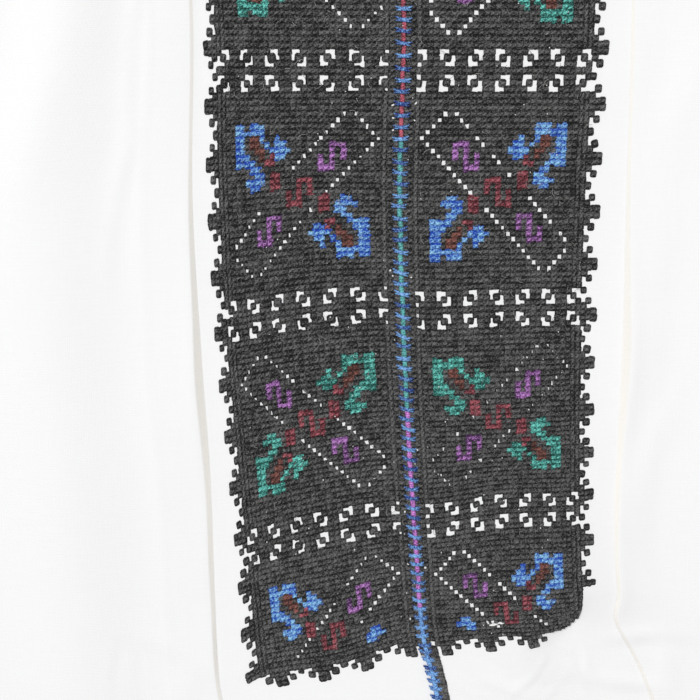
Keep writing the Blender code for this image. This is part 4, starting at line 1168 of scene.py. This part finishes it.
def work(side, wool):
    """All the stitches of one wool on one half."""
    copies = []
    for column, row, colour, kind in worked[side]:
        if colour != wool:
            continue
        dx, dy, angle, swell = chance.normal((0.0, 0.0, 0.0, 1.0), HAND)
        bare = BARE[side][max(field_place(side, 0, row)[0], 0)]
        spread = chance.integers(len(SPREADS))
        shape = CROSSES[kind][spread // 2 if bare > WELL_BARE else spread]
        dye = chance.uniform(0.0, 1.0)
        if kind == "half":
            way = chance.choice((-1.0, 1.0, 1.0))
            dx = way * (HALF_ASIDE + BARE_ASIDE * max(bare + chance.normal(0.0, BARE_UNEVEN), 0.0))
        # painted highlight: the ridge is raised and its stitches are coloured lighter as well
        if column == RIDGE_COLUMN:
            swell, dye = swell + RIDGE_SWELL, 0.5 + 0.5 * dye
        across = BLOCK_START + (column + 0.5) * STITCH_WIDE + dx
        copies.append(placed(shape, across, row + dy, side, angle, swell, dye))
    return sewn(f"{wool}_stitches_{HALVES[side]}", copies, partial(panel_surface, side), WOOLS[wool])


def ruffle(side):
    """Hairs that have worked loose from the wool of one half."""
    places = chance.uniform((BLOCK_START, ROWS[0]), (BLOCK_EDGE, ROWS[1]), (HAIR_COUNT, 2))
    copies = [placed(STRAY_HAIRS[chance.integers(len(STRAY_HAIRS))], across, row, side,
                     chance.uniform(0.0, math.pi), 1.0, chance.uniform(0.0, 1.0))
              for across, row in places]
    return sewn(f"stray_hairs_{HALVES[side]}", copies, partial(panel_surface, side), STRAY)


for side, word in HALVES.items():
    for wool in WOOLS:
        piece = work(side, wool)
        if wool == "black":
            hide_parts(f"embroidery_{word}")
    ruffle(side)

# %% [markdown]
# ## The joining seam
# The two widths are joined by hand with a decorative stitch: a coloured core laid along the joint,
# and blue barbs that reach into both edges and hold it down. The maker changed the core's colour as
# each thread ran out, and no two of the threads are equally thick. Black stitches cover the cut
# edges, and below the panel black overcasting goes on beside the seam to the hem.

# %% Seam
CORE_COLOURS = ((SLIT_ROW, "scarlet"), (10.0, "teal"), (58.0, "lilac"), (98.0, "azure"))
BARB_STEP = 1.9             # rows from barb to barb
BELOW_STEP = 0.8            # below the panel they stand closer, by this share
CORE_REACH = BARB_STEP * 1.15           # half the length of one core stitch, mm
EDGE_STEP = 0.55            # rows from one black stitch at the edge to the next
SLIT_CLEAR = 0.3            # how far the edge stitches keep from the open slit
CORE_HAND, BARB_HAND = (0.08, 0.0, 0.04, 0.0), (0.18, 0.12, 0.09, 0.06)     # uneven: across, down,
EDGE_HAND, OVERCAST_HAND = (0.08, 0.0, 0.0, 0.08), (0.08, 0.0, 0.05, 0.10)  # turn, swell
CORE_DYE, BARB_DYE, BLACK_DYE = (0.4, 1.0), (-0.45, 0.95), (0.0, 1.0)


def by_hand(shape, uneven, dye, across, row, side=1):
    """A shape laid with an unsteady hand. What never varies in it isn't drawn."""
    aside, down, turn, swell = [chance.normal(0.0, far) if far else 0.0 for far in uneven]
    return placed(shape, across + aside, row + down, side, turn, 1.0 + swell, chance.uniform(*dye))


def seam_surface(offset, row):
    """Any place beside the seam, offset to the right in mm."""
    left = panel_surface(-1, np.maximum(-offset - GAP / 2, 0.0), row)
    right_side = panel_surface(1, np.maximum(offset - GAP / 2, 0.0), row)
    return left + (right_side - left) * smooth(offset + 0.5)[..., None]


CORES = {thread: arch((0.0, -CORE_REACH), (0.0, CORE_REACH), 0.85, 1.30, half_wide, 4, 0.8)
         for thread, half_wide in (("scarlet", 0.82), ("teal", 0.94), ("lilac", 1.0), ("azure", 1.02))}
BARB = together(arch((-2.75, 0.80), (0.4, -0.20), 0.75, 1.48, 0.42, 4),
                arch((-2.45, -0.35), (0.4, -0.10), 0.75, 1.44, 0.40, 3),
                arch((-0.4, -0.20), (2.75, 0.75), 0.75, 1.52, 0.42, 4),
                arch((-0.4, -0.10), (2.45, -0.45), 0.75, 1.46, 0.40, 3),
                arch((-1.5, 0.05), (1.5, 0.0), 0.95, 1.85, 0.92, 4, 0.45))
EDGE = arch((0.35, 0.15), (2.45, -0.15), 0.35, 0.80, 0.60, 2, 0.9)
OVERCAST = arch((0.7, 0.30), (4.6, -0.30), 0.4, 1.10, 0.74, 4, 1.0)

copies = {thread: [] for thread in SEAM_THREADS}
row = SLIT_ROW + 1.0
while row < HEM_ROW - 1.5:
    core = [thread for start, thread in CORE_COLOURS if start <= row][-1]
    copies[core].append(by_hand(CORES[core], CORE_HAND, CORE_DYE, 0.0, row + BARB_STEP / 2))
    copies["azure"].append(by_hand(BARB, BARB_HAND, BARB_DYE, 0.0, row))
    row += BARB_STEP * (1.0 if row < PANEL_FOOT else BELOW_STEP)
for row in np.arange(PANEL_TOP + 1.0, PANEL_FOOT + TOOTH_COLUMNS, EDGE_STEP):
    clear = SLIT_CLEAR if row < SLIT_ROW else 0.0
    copies["black"] += [by_hand(EDGE, EDGE_HAND, BLACK_DYE, side * clear, row, side) for side in HALVES]
for row in np.arange(PANEL_FOOT + TOOTH_COLUMNS - 1.0, HEM_ROW - 1.0, EDGE_STEP):
    copies["black"].append(by_hand(OVERCAST, OVERCAST_HAND, BLACK_DYE, 0.0, row))
for thread, some in copies.items():
    piece = sewn(f"seam_{thread}", some, seam_surface, SEAM_THREADS[thread])
    if thread == "azure":
        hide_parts("joining_seam")

# %% [markdown]
# ## Plain sewing
# The rest is sewn in bleached linen thread: running stitches along hem, neckband and cuffs, and whip
# stitches over the raglan and side seams. Each stitch is one arch, laid from a point on a line of the
# cloth to the next, upright on the cloth there. A line is a row of points from the surface functions.

# %% Plain sewing
def evenly(line, step):
    """Points along a line at an even step."""
    lengths = np.concatenate(([0.0], np.cumsum(np.linalg.norm(np.diff(line, axis=0), axis=1))))
    at = np.arange(step / 2, lengths[-1] - step / 2, step)
    return np.stack([np.interp(at, lengths, line[:, k]) for k in range(3)], axis=-1)


STAND, SINK = 1.3, 0.05     # how high a thread stands for its width, and how far it sinks in, mm
SEWN_TURN, SEWN_LONG = 0.06, 0.07       # how uneven the sewing is: turn of a stitch, share of its length


def sew(name, lines, step, long, lean, thick, lift):
    """Stitches along lines; each line comes with a second one beside it, which gives its upper side."""
    shape, faces, uvs = arch((-0.5, 0.0), (0.5, 0.0), 0.5, 1.0, 1.0, 3)
    copies = []
    for line, beside in lines:
        middle, aside = evenly(line, step), evenly(beside, step)
        count = min(len(middle), len(aside))
        run = np.gradient(middle[:count], axis=0)
        run /= np.linalg.norm(run, axis=1, keepdims=True)
        up = np.cross(run, aside[:count] - middle[:count])
        up *= np.sign(up[:, 2:] + 1e-9) / np.linalg.norm(up, axis=1, keepdims=True)
        side_way = np.cross(up, run)
        for place, forward, upward, sideward in zip(middle, run, up, side_way):
            slant = lean + chance.normal(0.0, SEWN_TURN)
            length = long * chance.normal(1.0, SEWN_LONG)
            forward, sideward = (forward * math.cos(slant) + sideward * math.sin(slant),
                                 sideward * math.cos(slant) - forward * math.sin(slant))
            points = (place + shape[:, :1] * forward * length + shape[:, 1:2] * sideward * thick
                      + (shape[:, 2:3] * thick * STAND + lift - SINK) * upward)
            copies.append((np.column_stack((points, shape[:, 3])), faces, uvs))
    piece = stitched_mesh(name, copies, bleached_thread)


def pair(surface, fixed, near, values):
    """A line of a surface at one fixed second value, and the same line a little aside."""
    return surface(values, fixed), surface(values, near)


FLANK_TURN, HEM_LINE, CUFF_LINE, BAND_LINE = 14.9, 4.0, 2.5, 1.8    # lines of sewing, from each edge
hem, sides, raglans, cuffs = [], [], [], []
for side in HALVES:
    front, panel, band = (partial(surface, side) for surface in (linen_surface, panel_surface, cuff_surface))
    for surface, along in ((front, np.linspace(0.1, FLANK_TURN, 300)),
                           (panel, np.linspace(5.5, TOOTH_EDGE, 60))):
        hem.append(pair(surface, HEM_ROW - HEM_LINE, HEM_ROW - HEM_LINE + 1.0, along))
    down, up = np.linspace(55.0, HEM_ROW - 1.0, 200), np.linspace(PANEL_TOP + 4.0, 15.0, 200)
    sides.append((front(FLANK_TURN, down), front(FLANK_TURN - 0.3, down)))
    raglans.append((front(14.88, up), front(14.6, up)))
    for along in (CUFF_LINE, CUFF_LONG - CUFF_LINE):
        cuffs.append(pair(band, along, along + 1.0, np.linspace(0.02, 0.98, 90)))
for name, lines, step, long, lean, lift in (
        ("hem_stitches", hem, 4.2, 2.6, 0.0, LINEN_TOP),
        ("side_stitches", sides, 3.4, 2.2, 1.0, LINEN_TOP),
        ("raglan_stitches", raglans, 3.0, 2.2, 1.0, LINEN_TOP),
        ("cuff_stitches", cuffs, 2.6, 1.7, 0.0, CUFF_WALL / 2)):
    sew(name, lines, step, long, lean, 0.3, lift)
neck_angles = np.linspace(-84.0, 264.0, 400)
sew("neckband_stitches", [pair(neckband_surface, rise, rise + 1.0, neck_angles)
                          for rise in (BAND_LINE, BAND_TALL - BAND_LINE)], 2.4, 1.6, 0.0, 0.28, BAND_WALL / 2)

# %% [markdown]
# ## Linen threads that show
# Where the seam pulls at its edges a few linen threads come up between the black stitches, and one
# has been pulled loose over the wool near the foot. Small signs of handwork like these are listed one
# by one: offset from the seam, row, length and slant of each. Specks of linen are strewn at random.

# %% Loose linen threads
FLECKS = (
    (-2.9, 5.5, 1.0, 0.5), (-2.7, 7.6, 0.8, -0.4), (-2.6, 9.6, 0.7, 0.3), (4.6, 5.2, 1.1, 0.9),
    (4.3, 8.0, 0.7, -0.6), (-3.6, 33.6, 0.8, 0.8), (-2.9, 34.5, 0.6, -0.5), (3.3, 34.2, 0.7, 0.2),
    (-3.1, 46.0, 0.6, 0.4), (3.0, 66.0, 0.6, -0.3), (-3.0, 78.5, 0.7, 0.7), (-4.0, 100.5, 0.7, 0.4),
    (3.1, 89.5, 0.9, 0.1), (-3.2, 89.0, 0.9, -0.1),
)
LOOSE_THREAD = ((28.0, 102.3, 3.6, 0.20), (25.8, 101.7, 1.8, -1.0), (30.8, 102.0, 2.4, -0.10))
flecks = [placed(arch((-length / 2, 0.0), (length / 2, 0.0), 1.0, 1.45, 0.28, 3), offset, row, 1, slant)
          for offset, row, length, slant in FLECKS + LOOSE_THREAD]
SPECK_COUNT, SPECK_REACH = 150, BLOCK_EDGE * 0.9
SPECK = arch((-0.22, 0.0), (0.22, 0.0), 0.9, 1.30, 0.17, 2)
flecks += [placed(SPECK, chance.uniform(-SPECK_REACH, SPECK_REACH), chance.uniform(*ROWS), 1,
                  chance.uniform(0.0, math.pi)) for _ in range(SPECK_COUNT)]
loose = sewn("loose_linen_threads", flecks, seam_surface, bleached_thread)

# %% [markdown]
# ## Floor, light and camera
# A pale floor and broad soft lamps show cloth without hard shadows. The camera looks down from the
# neck's side, a little tilted, close to the lower half of the panel.

# %% Stage
def lamp(name, place, aim, size, watts, colour):
    light = bpy.data.lights.new(name, "AREA")
    light.shape, light.size, light.energy, light.color = "DISK", size, watts, colour
    holder = add(name, light)
    holder.location = place
    holder.rotation_euler = (Vector(aim) - Vector(place)).to_track_quat("-Z", "Y").to_euler()


FLOOR_REACH, FLOOR_DROP = 3.0, 0.0006   # metres
bm = bmesh.new()
bmesh.ops.create_grid(bm, x_segments=1, y_segments=1, size=FLOOR_REACH)
bmesh.ops.translate(bm, verts=bm.verts, vec=(0.0, 0.0, -FLOOR_DROP))
floor_finish = Finish("floor", 0.9)
floor = finish_piece("floor", into_mesh("floor", bm), floor_finish.dress((0.76, 0.76, 0.75, 1.0)))

DAYLIGHT, ROOM_LIGHT, ROOM_STRENGTH = (0.960, 0.975, 1.0), (1.0, 0.98, 0.955, 1.0), 0.45
AIM_X, AIM_Y, AIM_Z = -18.19, 307.24, 3.0      # where the camera looks, in the blouse's millimetres
aim = Vector((AIM_X, AIM_Y + HEM_Y, AIM_Z)) * MM
lamp("window", (-1.7, 2.9, 4.3), aim, 1.8, 190.0, DAYLIGHT)     # place and size in metres, watts
lamp("ceiling", (0.8, -1.8, 3.6), aim, 2.4, 27.0, DAYLIGHT)
world = bpy.data.worlds.new("studio")
world.use_nodes = True
sky = world.node_tree.nodes["Background"].inputs
sky["Color"].default_value, sky["Strength"].default_value = ROOM_LIGHT, ROOM_STRENGTH
bpy.context.scene.world = world
bpy.context.scene.view_settings.view_transform = "Standard"

CAMERA_REACH, CAMERA_TILT, CAMERA_ROLL = 447.86, 17.0, -2.0476
SENSOR, FOCAL_SHARE = 36.0, 1300.0 / 700.0
tilt, roll = math.radians(CAMERA_TILT), math.radians(CAMERA_ROLL)
back = Vector((0.0, math.sin(tilt), math.cos(tilt)))
level, rise = Vector((1.0, 0.0, 0.0)), Vector((0.0, math.cos(tilt), -math.sin(tilt)))
right = level * math.cos(roll) + rise * math.sin(roll)
up = rise * math.cos(roll) - level * math.sin(roll)
camera = add("camera", bpy.data.cameras.new("camera"))
camera.data.sensor_width, camera.data.lens = SENSOR, SENSOR * FOCAL_SHARE
camera.data.clip_start = 0.01
camera.matrix_world = Matrix.Translation(aim + back * CAMERA_REACH * MM) @ Matrix(
    (right, up, back)).transposed().to_4x4()
bpy.context.scene.camera = camera
print("camera at", [round(v, 3) for v in camera.matrix_world.translation])

# %% [markdown]
# ## Finish
# `plain` gives the corners of a box as plain numbers.

# %% Plain numbers
def plain(box):
    return [[float(value) for value in corner] for corner in box]
